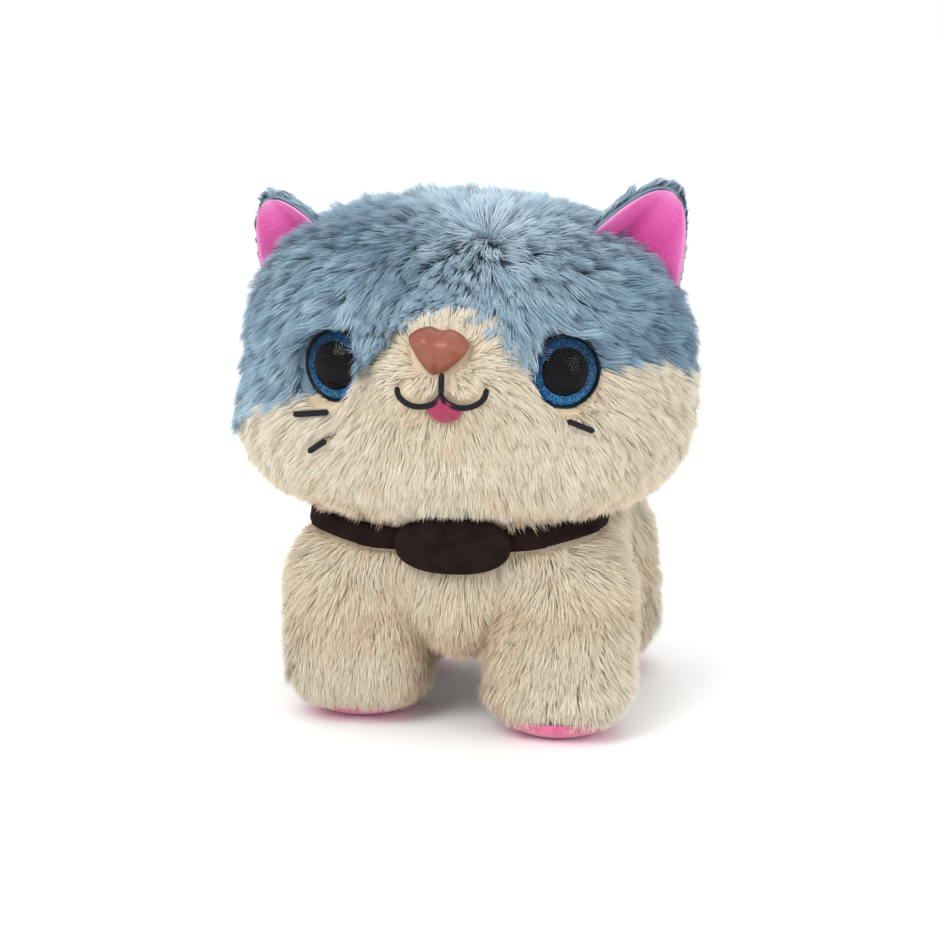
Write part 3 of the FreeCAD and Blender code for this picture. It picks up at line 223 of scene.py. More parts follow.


# The tone ramps span the tufts' random tone and also painted light and shade: their low ends, the cream one's
# peach, colour the painted shade in creases, their high ends the painted light on up-facing pile.
BLUE_PILE = pile_material(
    "blue_pile",
    [(0.0, srgb(66, 90, 112)), (0.4, srgb(120, 148, 168)),
     (0.7, srgb(162, 188, 204)), (1.0, srgb(206, 224, 234))],
    [(0.0, srgb(160, 166, 172)), (0.5, srgb(226, 229, 232)), (1.0, srgb(255, 255, 255))])
CREAM_PILE = pile_material(
    "cream_pile",
    [(0.0, srgb(208, 150, 112)), (0.3, srgb(212, 190, 163)),
     (0.6, srgb(216, 208, 190)), (1.0, srgb(236, 231, 219))],
    [(0.0, srgb(244, 230, 214)), (0.5, srgb(253, 249, 243)), (1.0, srgb(255, 255, 255))])
BLUE_CLOTH = grained("blue_backing", srgb(106, 128, 144), srgb(132, 154, 170), 0.95, 60, 900, 0.0004)
CREAM_CLOTH = grained("cream_backing", srgb(200, 180, 152), srgb(214, 198, 174), 0.95, 60, 900, 0.0004)
SOLE_CLOTH = grained("sole_cloth", srgb(204, 84, 134), srgb(228, 124, 166), 0.85, 150, 1400, 0.0004,
                     Sheen_Weight=0.4, Sheen_Roughness=0.4)
COLLAR_CLOTH = grained("collar_cloth", srgb(22, 13, 12), srgb(40, 27, 25), 0.9, 160, 1300, 0.0005,
                       Specular_IOR_Level=0.08, Sheen_Weight=0.05, Sheen_Roughness=0.35,
                       Sheen_Tint=srgb(150, 115, 105))
THREAD = grained("thread", srgb(10, 10, 16), srgb(28, 28, 38), 0.6, 900, 2600, 0.0002,
                 Specular_IOR_Level=0.2)
TONGUE_FELT = grained("tongue_felt", srgb(134, 20, 60), srgb(160, 44, 86), 0.9, 300, 1800, 0.0004,
                      Sheen_Weight=0.3)
NOSE_PLASTIC = grained("nose_plastic", srgb(120, 56, 38), srgb(140, 74, 50), 0.42, 110, 700, 0.00006,
                       Coat_Weight=0.25, Coat_Roughness=0.3)
EYE_BLACK = grained("eye_black", srgb(5, 5, 7), srgb(12, 13, 18), 0.3, 200, 900, 0.00002,
                    Specular_IOR_Level=0.25)
PUPIL = grained("pupil_black", srgb(3, 4, 6), srgb(9, 10, 15), 0.6, 200, 900, 0.00002,
                Specular_IOR_Level=0.05)
EYE_CLEAR, _, clear_shader = shader("eye_clear", 0.02, Transmission_Weight=1.0, IOR=1.2)
clear_shader.inputs["Base Color"].default_value = (0.96, 0.98, 1.0, 1)


def lining_material():
    """Pink minky, with painted shade deep in the fold of the ear and painted light on its rolled edge."""
    made, tree, principled = shader("pink_lining", 0.8, Sheen_Weight=0.6, Sheen_Roughness=0.35,
                                    Sheen_Tint=srgb(255, 170, 220))
    edge = tree.nodes.new("ShaderNodeAttribute")
    edge.attribute_name = "edge"
    # painted shade in the fold and hollow of the ear, painted light towards its rolled edge
    tone = ramp(tree, edge.outputs["Fac"], [(0.0, srgb(158, 34, 104)), (0.45, srgb(200, 66, 144)),
                                            (0.75, srgb(220, 100, 174)), (1.0, srgb(236, 158, 208))])
    tree.links.new(tone, principled.inputs["Base Color"])
    nap = texture(tree, "ShaderNodeTexNoise", 1500, Detail=4.0)
    bump(tree, principled, nap.outputs["Fac"], 0.0005)
    return made


def iris_material():
    """Blue glitter paint: small bright flakes of many shades, with a painted highlight at the bottom of the
    iris and painted shade towards its top.
    """
    made, tree, principled = shader("eye_paint", 0.45, Metallic=0.2, Specular_IOR_Level=0.25)
    flakes = texture(tree, "ShaderNodeTexVoronoi", 3200)
    flake = tree.nodes.new("ShaderNodeSeparateColor")
    tree.links.new(flakes.outputs["Color"], flake.inputs[0])
    paint = ramp(tree, flake.outputs[0], [(0.0, srgb(2, 34, 60)), (0.45, srgb(3, 70, 112)),
                                          (0.8, srgb(10, 122, 180)), (0.96, srgb(70, 150, 205))])
    place = tree.nodes.new("ShaderNodeTexCoord")
    height = tree.nodes.new("ShaderNodeSeparateXYZ")
    tree.links.new(place.outputs["Generated"], height.inputs[0])
    # painted light: the paint is raised to a painted highlight at the bottom of the iris and lowered to
    # painted shade at its top
    shade = ramp(tree, height.outputs["Z"], [(0.0, (1.7, 1.7, 1.7, 1)), (0.3, (0.8, 0.85, 0.9, 1)),
                                             (0.7, (0.3, 0.32, 0.36, 1)), (1.0, (0.35, 0.4, 0.5, 1))])
    tree.links.new(multiplied(tree, paint, shade), principled.inputs["Base Color"])
    bump(tree, principled, flake.outputs[1], 0.0001, 0.6)
    return made


PINK_LINING = lining_material()
EYE_PAINT_AND_LIGHT = iris_material()

# ---- meshes ----


def mesh_object(name, points, faces, material, smooth=True):
    mesh = bpy.data.meshes.new(name)
    mesh.from_pydata((np.asarray(points) * MM).tolist(), [], np.asarray(faces).tolist())
    mesh.materials.append(material)
    mesh.polygons.foreach_set("use_smooth", [smooth] * len(mesh.polygons))
    mesh.update()
    made = bpy.data.objects.new(name, mesh)
    bpy.context.scene.collection.objects.link(made)
    return made


def place(made, body, slot, *nodes):
    """A finished piece: the body it rides on, its material slot, which is not used, and the CAD nodes it
    stands for.
    """
    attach(made, body)
    if nodes:
        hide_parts(*nodes)
    return made


def search_tree(points):
    """For finding the nearest of these points."""
    tree = KDTree(len(points))
    for index, point in enumerate(points):
        tree.insert(point, index)
    tree.balance()
    return tree


def points_of(made):
    """A mesh object's points, in millimetres."""
    return np.array([vert.co for vert in made.data.vertices]) / MM


def normals_of(points, faces):
    corners = points[faces]
    across = np.cross(corners[:, 1] - corners[:, 0], corners[:, 2] - corners[:, 0])
    total = np.zeros_like(points)
    for corner in range(3):
        np.add.at(total, faces[:, corner], across)
    return unit(total)


def triangles(faces):
    """Quads as pairs of triangles."""
    faces = np.asarray(faces)
    return np.concatenate([faces[:, [0, 1, 2]], faces[:, [0, 2, 3]]])


def tube_faces(rings, sides):
    """Quads between rings of points, each ring with this many points."""
    around = np.arange(sides)
    after = (around + 1) % sides
    return np.concatenate([np.column_stack([row * sides + around, row * sides + after,
                                            (row + 1) * sides + after, (row + 1) * sides + around])
                           for row in range(rings - 1)])


def ball(level):
    """Directions and triangles of an even sphere."""
    sphere = bmesh.new()
    bmesh.ops.create_icosphere(sphere, subdivisions=level, radius=1.0)
    directions = unit(np.array([vert.co for vert in sphere.verts]))
    faces = np.array([[vert.index for vert in face.verts] for face in sphere.faces])
    sphere.free()
    return directions, faces


def star(field, centre, level=6, reach=140.0):
    """The closed skin where a field is zero, round a centre that sees all of it."""
    directions, faces = ball(level)
    near, far = np.zeros(len(directions)), np.full(len(directions), reach)
    for _ in range(24):
        middle = (near + far) / 2
        inside = field(centre + directions * middle[:, None]) < 0
        near, far = np.where(inside, middle, near), np.where(inside, far, middle)
    points = centre + directions * near[:, None]
    return Skin(points, faces, normals_of(points, faces))


def lobe(points, centre, radii, power=2.0):
    """Roughly the distance to an ellipsoid, or to a boxier one at a higher power; negative inside."""
    share = (np.abs((points - centre) / radii) ** power).sum(axis=1) ** (1 / np.ravel(power))
    return (share - 1) * min(radii)


def joined(first, second, softness):
    """Two fields as one, with a fillet where they meet."""
    mix = np.clip(0.5 + 0.5 * (second - first) / softness, 0, 1)
    return second * (1 - mix) + first * mix - softness * mix * (1 - mix)


# ---- the animal's shape, to the cloth under its pile ----


SKULL_RADII = (68.5, 46, 48)
CHEEK_RADII = (66, 45, 25.5)
MUZZLE_RADII = (28, 21, 19)
LIP_PAD = MUZZLE + [7.5, -15, -1]
LIP_PAD_RADII = (9, 7.5, 7.5)


def mirrored(points):
    """The points with their right side folded over onto the left."""
    return np.abs(points[:, :1]) * [1, 0, 0] + points * [0, 1, 1]


def head_field(points):
    """A wide skull, a little boxier on its right, with cheeks, a muzzle and two lip pads."""
    boxy = 2.35 - 0.17 * np.tanh(points[:, 0] / 25)
    skull = lobe(points, HEAD, SKULL_RADII, boxy[:, None])
    body = joined(skull, lobe(points, CHEEKS, CHEEK_RADII, 2.3), 10)
    body = joined(body, lobe(points, MUZZLE, MUZZLE_RADII), 8)
    return joined(body, lobe(mirrored(points), LIP_PAD, LIP_PAD_RADII), 4)


torso_low, torso_high = span("torso_plush")
TORSO = (torso_low + torso_high) / 2
TORSO_ROUND = 30.0
HIPS = {end: span(f"leg_{end}_left_plush", f"leg_{end}_right_plush") for end in ("front", "back")}
HIP_ALONG = {end: (low[1] + high[1]) / 2 for end, (low, high) in HIPS.items()}
HIP_HEIGHT = 46.0
LEG_SIDE = 34.0
HAUNCH_RADII = (18.5, 18.5, 19)
CHEST_RADII = (17, 20, 18)
FOOT_RADII = (20, 17.5, 22)
THIGH_RADII = (16, 14, 18)


def block_field(points, low, high):
    """The distance to a block with round edges between two corners."""
    beyond = np.abs(points - (low + high) / 2) - ((high - low) / 2 - TORSO_ROUND)
    return np.linalg.norm(np.maximum(beyond, 0), axis=1) + np.minimum(beyond.max(axis=1), 0) - TORSO_ROUND


def torso_field(points):
    """A round-edged block, narrower towards the neck, with a haunch over each leg and a chest."""
    slimmed = points.copy()
    slimmed[:, 0] /= 1 - (0.08 + 0.07 * np.tanh(points[:, 0] / 15)) * np.clip((points[:, 2] - 48) / 34, 0, 1)
    outer = block_field(slimmed, torso_low + [2.5, 2.5, 1.0], torso_high - [2.5, 0.8, 2.5])
    for along in HIP_ALONG.values():
        haunch = np.array([LEG_SIDE + 1, along, HIP_HEIGHT])
        outer = joined(outer, lobe(mirrored(points), haunch, HAUNCH_RADII), 8)
    return joined(outer, lobe(points, np.array([0, torso_low[1] + 23, 44]), CHEST_RADII), 10)


def leg_foot(name):
    """The middle of the sole of a leg."""
    low, high = span(name + "_sole")
    return (low + high) / 2


def hip_along(name):
    return HIP_ALONG["front" if "front" in name else "back"]


def leg_field(name):
    """A stubby leg that leans from its hip to its foot."""
    foot, hip = leg_foot(name), hip_along(name)

    def field(points):
        straight = points.copy()
        straight[:, 1] -= (foot[1] - hip) * np.clip((HIP_HEIGHT - points[:, 2]) / HIP_HEIGHT, 0, 1)
        column = lobe(straight, np.array([foot[0], hip, 23.5]), FOOT_RADII, 3.2)
        return joined(column, lobe(straight, np.array([foot[0], hip, 42]), THIGH_RADII), 8)
    return field


LEGS = [f"leg_{end}_{side}" for end in ("front", "back") for side in SIDES]
LEG_FIELDS = {name: leg_field(name) for name in LEGS}


def without(skin, hidden):
    """The faces of a skin whose middles aren't hidden."""
    middles = skin.points[skin.faces].mean(axis=1)
    return Skin(skin.points, skin.faces[~hidden(middles)], skin.normals)


def used(skin):
    """Only the points that the faces still use."""
    kept, faces = np.unique(skin.faces, return_inverse=True)
    return Skin(skin.points[kept], faces.reshape(skin.faces.shape), skin.normals[kept])


SEAM_ACROSS = [-78, -67, -55, -39, -29, -20, -13, 0, 12, 20, 33, 39, 49, 61, 70, 78]
SEAM_HEIGHT = [84, 102, 109, 113, 117, 125, 134, 138, 137, 129, 119, 117, 123, 126, 116, 94]


def in_face(points):
    """Is this on the cream side of the seam between the face and the crown?"""
    below = points[:, 2] < np.interp(points[:, 0], SEAM_ACROSS, SEAM_HEIGHT)
    return below & (points[:, 1] < -8)


# ---- pile ----


def scatter(skin, density, rng):
    """Random roots, this many to a square millimetre, and the skin's normal at each."""
    corners = skin.points[skin.faces]
    areas = np.linalg.norm(np.cross(corners[:, 1] - corners[:, 0], corners[:, 2] - corners[:, 0]), axis=1) / 2
    chosen = rng.choice(len(areas), int(areas.sum() * density), p=areas / areas.sum())
    share = rng.random((len(chosen), 2))
    share = np.where(share.sum(axis=1, keepdims=True) > 1, 1 - share, share)
    weights = np.column_stack([1 - share.sum(axis=1), share])[:, :, None]
    normals = skin.normals[skin.faces[chosen]]
    return (corners[chosen] * weights).sum(axis=1), unit((normals * weights).sum(axis=1))


def stems(roots, normals, along, lengths, lifts):
    """Four points up each strand, which leaves its root steeply and leans over."""
    points = [roots]
    for lift in lifts.T:
        step = along * np.cos(lift)[:, None] + normals * np.sin(lift)[:, None]
        points.append(points[-1] + step * (lengths / 3)[:, None])
    return np.stack(points, axis=1)


def turned_comb(comb, roots, normals, turn):
    """The comb's direction in the skin at each root, turned about the normal."""
    flow = comb(roots)
    along = unit(flow - (flow * normals).sum(axis=1, keepdims=True) * normals)
    return along * np.cos(turn)[:, None] + np.cross(normals, along) * np.sin(turn)[:, None]


def drift(points, grain, seed):
    """A smooth random value at each point, about -1 to 1, that changes over this many millimetres."""
    rng = np.random.default_rng(seed)
    waves = rng.normal(0, 1 / grain, (14, 3))
    phases = rng.uniform(0, 2 * np.pi, 14)
    return np.sin(points @ waves.T + phases).sum(axis=1) / 14 ** 0.5


GATHER = np.array([0, 0.12, 0.32, 0.5])[None, :, None]
MOST_STRANDS = 36000


def pile(name, body, slot, material, skin, comb, density, length, tone, avoid=None, keep=None,
         width=0.34, clump=2.7, lifts=(55, 36, 18), unruly=1.0, seed=1):
    """Fur on a skin: tapered ribbons, gathered into tufts that lean the way the comb says."""
    rng = np.random.default_rng(seed)
    roots, normals = scatter(skin, density, rng)
    hubs, hub_normals = scatter(skin, 1 / clump ** 2, rng)
    if keep is not None:
        wanted = keep(roots)
        roots, normals = roots[wanted], normals[wanted]
        hubs, hub_normals = hubs[keep(hubs)], hub_normals[keep(hubs)]
    tree = search_tree(hubs)
    hub_of = np.array([tree.find(root)[1] for root in roots])
    hub_turn = (rng.normal(0, 0.22, len(hubs)) + drift(hubs, 9, seed) * 0.35) * unruly
    hub_lift = (rng.normal(0, 8, len(hubs)) + drift(hubs, 7, seed + 1) * 7) * unruly
    hub_long = 1 + (rng.uniform(0.82, 1.15, len(hubs)) - 1) * unruly
    hub_tone = (rng.normal(0, 0.07, len(hubs)) + drift(hubs, 14, seed + 2) * 0.06) * unruly
    rise = np.radians(np.array(lifts)[None, :] + hub_lift[:, None])
    hub_lines = stems(hubs, hub_normals, turned_comb(comb, hubs, hub_normals, hub_turn),
                      length(hubs) * hub_long, rise)
    own_turn = hub_turn[hub_of] + rng.normal(0, 0.25, len(roots))
    along = turned_comb(comb, roots, normals, own_turn)
    own_rise = rise[hub_of] + np.radians(rng.normal(0, 7, (len(roots), 1)))
    own_long = length(roots) * hub_long[hub_of] * rng.uniform(0.85, 1.1, len(roots))
    lines = stems(roots, normals, along, own_long, own_rise)
    drawn = hub_lines[hub_of] + 0.25 * (roots - hubs[hub_of])[:, None, :]
    gather = GATHER * unruly
    lines = lines * (1 - gather) + drawn * gather
    lines[:, :, 2] = np.maximum(lines[:, :, 2], 0.3)
    tones = np.clip(tone(roots, normals) + hub_tone[hub_of] + rng.normal(0, 0.06, len(roots)), 0.01, 0.96)
    if avoid is not None:
        clear = ~avoid(lines[:, 1:].reshape(-1, 3)).reshape(-1, 3).any(axis=1)
        lines, normals, tones, along = lines[clear], normals[clear], tones[clear], along[clear]
    made = []
    for number, start in enumerate(range(0, len(lines), MOST_STRANDS)):
        part = slice(start, start + MOST_STRANDS)
        strands = ribbons(f"{name}_{number}", lines[part], normals[part], along[part], tones[part],
                          width, material)
        made.append(place(strands, body, slot))
    return made


def ribbons(name, lines, normals, along, tones, width, material):
    """One mesh of tapered ribbons, each two quads and a point, with soft normals near the skin's own."""
    count = len(lines)
    side = unit(np.cross(along, normals))
    halves = side[:, None, :] * (width / 2 * np.array([1.0, 0.9, 0.6]))[None, :, None]
    points = np.concatenate([lines[:, :3] - halves, lines[:, :3] + halves, lines[:, 3:]], axis=1)
    corner = np.array([0, 3, 4, 1, 1, 4, 5, 2, 2, 5, 6])
    loops = (np.arange(count)[:, None] * 7 + corner).ravel()
    starts = (np.arange(count)[:, None] * 11 + np.array([0, 4, 8])).ravel()
    mesh = bpy.data.meshes.new(name)
    mesh.vertices.add(count * 7)
    mesh.vertices.foreach_set("co", (points * MM).astype(np.float32).ravel())
    mesh.loops.add(len(loops))
    mesh.loops.foreach_set("vertex_index", loops.astype(np.int32))
    mesh.polygons.add(len(starts))
    mesh.polygons.foreach_set("loop_start", starts.astype(np.int32))
    mesh.polygons.foreach_set("use_smooth", np.ones(len(starts), bool))
    mesh.update(calc_edges=True)
    share = np.array([0, 1 / 3, 2 / 3] * 2 + [1.0])
    across = np.array([0, 0, 0, 0.02, 0.02, 0.02, 0.01])
    uv = np.stack([tones[:, None] + across, np.broadcast_to(share, (count, 7))], axis=2).reshape(-1, 2)
    layer = mesh.uv_layers.new(name="OFBake")
    layer.data.foreach_set("uv", uv[loops].astype(np.float32).ravel())
    lean = unit(lines[:, 3] - lines[:, 0])
    facing = unit(np.cross(side, lean))
    soft = unit(0.7 * normals + 0.3 * facing)
    mesh.normals_split_custom_set_from_vertices(np.repeat(soft, 7, axis=0).tolist())
    mesh.materials.append(material)
    made = bpy.data.objects.new(name, mesh)
    bpy.context.scene.collection.objects.link(made)
    return made


# ---- eyes, which the face's pile stays clear of ----

EYE_YAW = math.radians(28)
EYE_RADIUS = 11.0
EYE_DOME = 5.5


def eye_axis(side):
    return np.array([SIDES[side] * math.sin(EYE_YAW), -math.cos(EYE_YAW), 0])


def eye_centre(side):
    low, high = span(f"eye_{side}_dome")
    return (low + high) / 2 + [0, 0.65, 0]


def from_eye(points, side):
    """Distance from an eye's axis, and height along the axis."""
    offset = points - eye_centre(side)
    height = offset @ eye_axis(side)
    return np.linalg.norm(offset - height[:, None] * eye_axis(side), axis=1), height


def turned(name, profile, centre, axis, material, closed=False, segments=72):
    """A piece turned about an axis: its profile is (radius, height) pairs, a ring if it closes on itself."""
    spin = Vector((0, 0, 1)).rotation_difference(Vector(axis)).to_matrix()
    angles = np.linspace(0, 2 * np.pi, segments, endpoint=False)
    rings = np.array([[(radius * math.cos(a), radius * math.sin(a), height) for a in angles]
                      for radius, height in profile])
    points = rings.reshape(-1, 3) @ np.array(spin).T + centre
    around = np.arange(segments)
    after = (around + 1) % segments
    steps = range(len(profile) if closed else len(profile) - 1)
    faces = [np.column_stack([row * segments + around, (row + 1) % len(profile) * segments + around,
                              (row + 1) % len(profile) * segments + after, row * segments + after])
             for row in steps]
    made = mesh_object(name, points, np.concatenate(faces), material)
    weld = bmesh.new()
    weld.from_mesh(made.data)
    bmesh.ops.remove_doubles(weld, verts=weld.verts, dist=0.00001)
    bmesh.ops.recalc_face_normals(weld, faces=weld.faces)
    weld.to_mesh(made.data)
    weld.free()
    return made


EYE_RIM = [(10.95, -1.9), (11.0, 0.1), (11.35, 0.55), (11.9, 0.35), (12.1, -0.4), (11.9, -1.9)]


def eyes():
    sphere = (EYE_RADIUS ** 2 + EYE_DOME ** 2) / (2 * EYE_DOME)
    widest = math.asin(EYE_RADIUS / sphere)
    cap = [(sphere * math.sin(angle), sphere * math.cos(angle) - sphere + EYE_DOME)
           for angle in np.linspace(0, widest, 16)]
    for side in SIDES:
        centre, axis = eye_centre(side), eye_axis(side)
        foot = [(EYE_RADIUS, -1.2), (EYE_RADIUS - 0.3, -1.6), (0, -1.6)]
        dome = turned(f"eye_{side}_dome_clear", cap + foot, centre, axis, EYE_CLEAR)
        place(dome, "head", "eye_clear", f"eye_{side}_dome")
        iris = turned(f"eye_{side}_iris_paint_and_light", [(0, -1.3), (9, -0.8), (10.9, -0.6), (10.9, -1.9), (0, -1.9)],
                      centre, axis, EYE_PAINT_AND_LIGHT)
        place(iris, "head", "eye_paint", f"eye_{side}_iris")
        pupil = turned(f"eye_{side}_pupil", [(0, -0.58), (6.8, -0.6), (7.3, -0.75), (7.4, -1.4), (0, -1.4)],
                       centre, axis, PUPIL)
        place(pupil, "head", "eye_black")
        rim = turned(f"eye_{side}_rim", EYE_RIM, centre, axis, EYE_BLACK, closed=True)
        place(rim, "head", "eye_black")


eyes()

# ---- nose, mouth, whiskers and tongue ----

nose_low, nose_high = span("nose")
NOSE = np.array([-0.8, nose_low[1] + 5.5, (nose_low[2] + nose_high[2]) / 2 - 1.4])


def front_of(across, height, proud):
    """How far forward the head's skin is at a place seen from the front, plus a stand-off."""
    across, height = np.atleast_1d(across).astype(float), np.atleast_1d(height).astype(float)
    near, far = np.full(len(across), -120.0), np.full(len(across), -40.0)
    for _ in range(22):
        middle = (near + far) / 2
        outside = head_field(np.column_stack([across, middle, height])) > proud
        near, far = np.where(outside, middle, near), np.where(outside, far, middle)
    return near


def nose():
    """A soft cat's nose: wide and lobed above, drawn down to a blunt point, with a dent over each nostril."""
    directions, faces = ball(5)
    across, along, up = directions.T
    narrow = 0.42 + 0.58 * np.clip((up + 1) / 1.45, 0, 1) ** 1.2
    shape = np.column_stack([across * 10.8 * narrow, along * 7.0, up * 7.8])
    shape[:, 2] -= 1.3 * np.exp(-(across / 0.22) ** 2) * (up > 0) * up
    groove = np.exp(-((shape[:, 0] - 0.6) / 1.1) ** 2) * np.clip(0.35 - up, 0, 1)
    nostril = np.exp(-((np.abs(shape[:, 0]) - 5.6) / 2.1) ** 2 - ((shape[:, 2] + 0.6) / 2.0) ** 2)
    lobes = np.exp(-((np.abs(shape[:, 0]) - 4.6) / 3.4) ** 2 - ((shape[:, 2] - 3.4) / 3.0) ** 2)
    shape[:, 1] += np.where(along < 0, 1.4 * groove + 1.3 * nostril - 1.2 * lobes, 0)
    tilt = Matrix.Rotation(math.radians(7), 3, "Y")
    points = shape @ np.array(tilt).T + NOSE
    place(mesh_object("nose_moulded", points, faces, NOSE_PLASTIC), "head", "nose_plastic", "nose")


def stitched(path, radius, sides=12, stitch=0.6):
    """Points and faces of a satin-stitched line: a cord whose thickness shows each stitch across it."""
    path = np.asarray(path, float)
    reach = np.concatenate([[0], np.cumsum(np.linalg.norm(np.diff(path, axis=0), axis=1))])
    steps = np.linspace(0, reach[-1], max(8, int(reach[-1] / stitch * 5)))
    line = np.column_stack([np.interp(steps, reach, path[:, axis]) for axis in range(3)])
    ahead = unit(np.gradient(line, axis=0))
    out = unit(np.cross(np.cross(ahead, [0, -1, 0]), ahead))
    side = np.cross(ahead, out)
    ends = np.minimum(steps, reach[-1] - steps)
    twist = 1 + 0.13 * np.sin(steps / stitch * 2 * np.pi)
    thick = radius * twist * np.sqrt(np.clip(ends / radius, 0.02, 1))
    angles = np.linspace(0, 2 * np.pi, sides, endpoint=False)
    rings = (line[:, None] + thick[:, None, None] * (np.cos(angles)[None, :, None] * side[:, None]
                                                     + np.sin(angles)[None, :, None] * out[:, None] * 0.8))
    return rings.reshape(-1, 3), tube_faces(len(line), sides)


LIP_RADIUS = 7.1
LIP_HEIGHT = 118.6
LIP_MIDDLE = 1.2
LIP_FLATNESS = 0.74
MOUTH_PROUD = 3.4


def lip_path(side):
    """A lower half circle of the mouth, from under the nose out to its corner."""
    angles = np.radians(np.linspace(-6, -190, 40))
    across = LIP_MIDDLE + side * (LIP_RADIUS - 0.3 - LIP_RADIUS * np.cos(angles))
    height = LIP_HEIGHT + LIP_RADIUS * np.sin(angles) * LIP_FLATNESS
    return np.column_stack([across, front_of(across, height, MOUTH_PROUD), height])


def mouth_paths():
    philtrum_height = np.linspace(LIP_HEIGHT - 1.5, NOSE[2] - 6.0, 12)
    middle = np.full(12, LIP_MIDDLE)
    philtrum = np.column_stack([middle, front_of(middle, philtrum_height, MOUTH_PROUD), philtrum_height])
    return [lip_path(-1), lip_path(1), philtrum]


# each whisker: across and height of its two ends, and how far it stands off the skin
WHISKERS = [((-49, 106.8), (-36.5, 108.6), 4.2), ((-43.5, 95.5), (-37, 100), 4.2),
            ((39.0, 108.0), (47.5, 104.4), 4.2), ((44.5, 98.5), (51.0, 94.5), 1.2)]


def whisker_paths():
    paths = []
    for (across, height), (far_across, far_height), proud in WHISKERS:
        line = np.column_stack([np.linspace(across, far_across, 14), np.linspace(height, far_height, 14)])
        paths.append(np.column_stack([line[:, 0], front_of(line[:, 0], line[:, 1], proud), line[:, 1]]))
    return paths


def stitching(name, paths, radius, *nodes):
    points, faces = [], []
    for path in paths:
        more_points, more_faces = stitched(path, radius)
        faces.append(more_faces + sum(len(p) for p in points))
        points.append(more_points)
    place(mesh_object(name, np.concatenate(points), np.concatenate(faces), THREAD), "head", "thread", *nodes)


def shell(front, back):
    """A closed thin piece from two grids of points, the front one facing out."""
    rows, columns = front.shape[:2]
    index = np.arange(rows * columns).reshape(rows, columns)
    quads = np.stack([index[:-1, :-1], index[:-1, 1:], index[1:, 1:], index[1:, :-1]], axis=-1).reshape(-1, 4)
    rim = np.concatenate([index[0, :-1], index[:-1, -1], index[-1, :0:-1], index[:0:-1, 0]])
    after = np.roll(rim, -1)
    offset = rows * columns
    sides = np.column_stack([after, rim, rim + offset, after + offset])
    points = np.concatenate([front.reshape(-1, 3), back.reshape(-1, 3)])
    return points, np.concatenate([quads, quads[:, ::-1] + offset, sides])


def tongue():
    """A small padded tongue of felt with a crease down its middle, under the middle of the mouth."""
    down, over = np.meshgrid(np.linspace(0, 1, 22), np.linspace(-1, 1, 25), indexing="ij")
    across = LIP_MIDDLE + 0.7 + over * 5.6 * np.sqrt(np.clip(1 - (down * 0.995) ** 2.6, 0, 1))
    from_corner = (LIP_RADIUS - 0.3 - np.abs(across - LIP_MIDDLE)) / LIP_RADIUS
    under_lip = LIP_HEIGHT + 0.5 - LIP_RADIUS * LIP_FLATNESS * np.sqrt(1 - from_corner ** 2)
    height = under_lip * (1 - down) + (LIP_HEIGHT - 11.0) * down
    skin = front_of(across.ravel(), height.ravel(), 2.2).reshape(across.shape)
    puff = 1.7 * np.sqrt(np.clip(1 - over ** 2, 0, 1)) * np.sqrt(np.clip(1 - down ** 4, 0, 1))
    crease = 0.5 * np.exp(-(over / 0.12) ** 2) * (1 - down ** 2)
    front = np.stack([across, skin - 0.5 - puff + crease, height], axis=-1)
    back = np.stack([across, skin + 0.4, height], axis=-1)
    made = mesh_object("tongue_felt", *shell(front, back), TONGUE_FELT)
    place(made, "head", "tongue_felt", "tongue")


nose()
MOUTH = mouth_paths()
WHISKER_LINES = whisker_paths()
stitching("mouth_satin_stitch", MOUTH, 0.95, "mouth_stitching")
stitching("whisker_satin_stitch", WHISKER_LINES, 0.95, "whisker_stitching")
tongue()

# ---- head ----


def near_line(points, paths, reach):
    """Is a point, seen from the front, within reach of one of these stitched lines?"""
    close = np.zeros(len(points), bool)
    for path in paths:
        for x, y, z in path[::2]:
            beside = (points[:, 0] - x) ** 2 + (points[:, 2] - z) ** 2 < reach ** 2
            close |= beside & (points[:, 1] < y + 2.5)
    return close


def head_avoid(points):
    """Places that the face's pile leaves open: its eyes, nose, mouth, whiskers and tongue."""
    blocked = np.zeros(len(points), bool)
    for side in SIDES:
        away, height = from_eye(points, side)
        blocked |= (away < EYE_RADIUS + 0.7) & (height > -5)
    offset = (points - NOSE) / [10.4, 7.5, 7.6]
    blocked |= ((offset[:, 0] ** 2 + offset[:, 2] ** 2 < 1) & (offset[:, 2] < 0.3) & (points[:, 1] < -70))
    blocked |= near_line(points, MOUTH, 1.5) | near_line(points, WHISKER_LINES[:3], 1.3)
    tongue_offset = (points - [LIP_MIDDLE + 0.7, 0, LIP_HEIGHT - 6.5]) / [5.6, 1, 5.6]
    blocked |= (tongue_offset[:, 0] ** 2 + tongue_offset[:, 2] ** 2 < 1) & (points[:, 1] < -70)
    return blocked


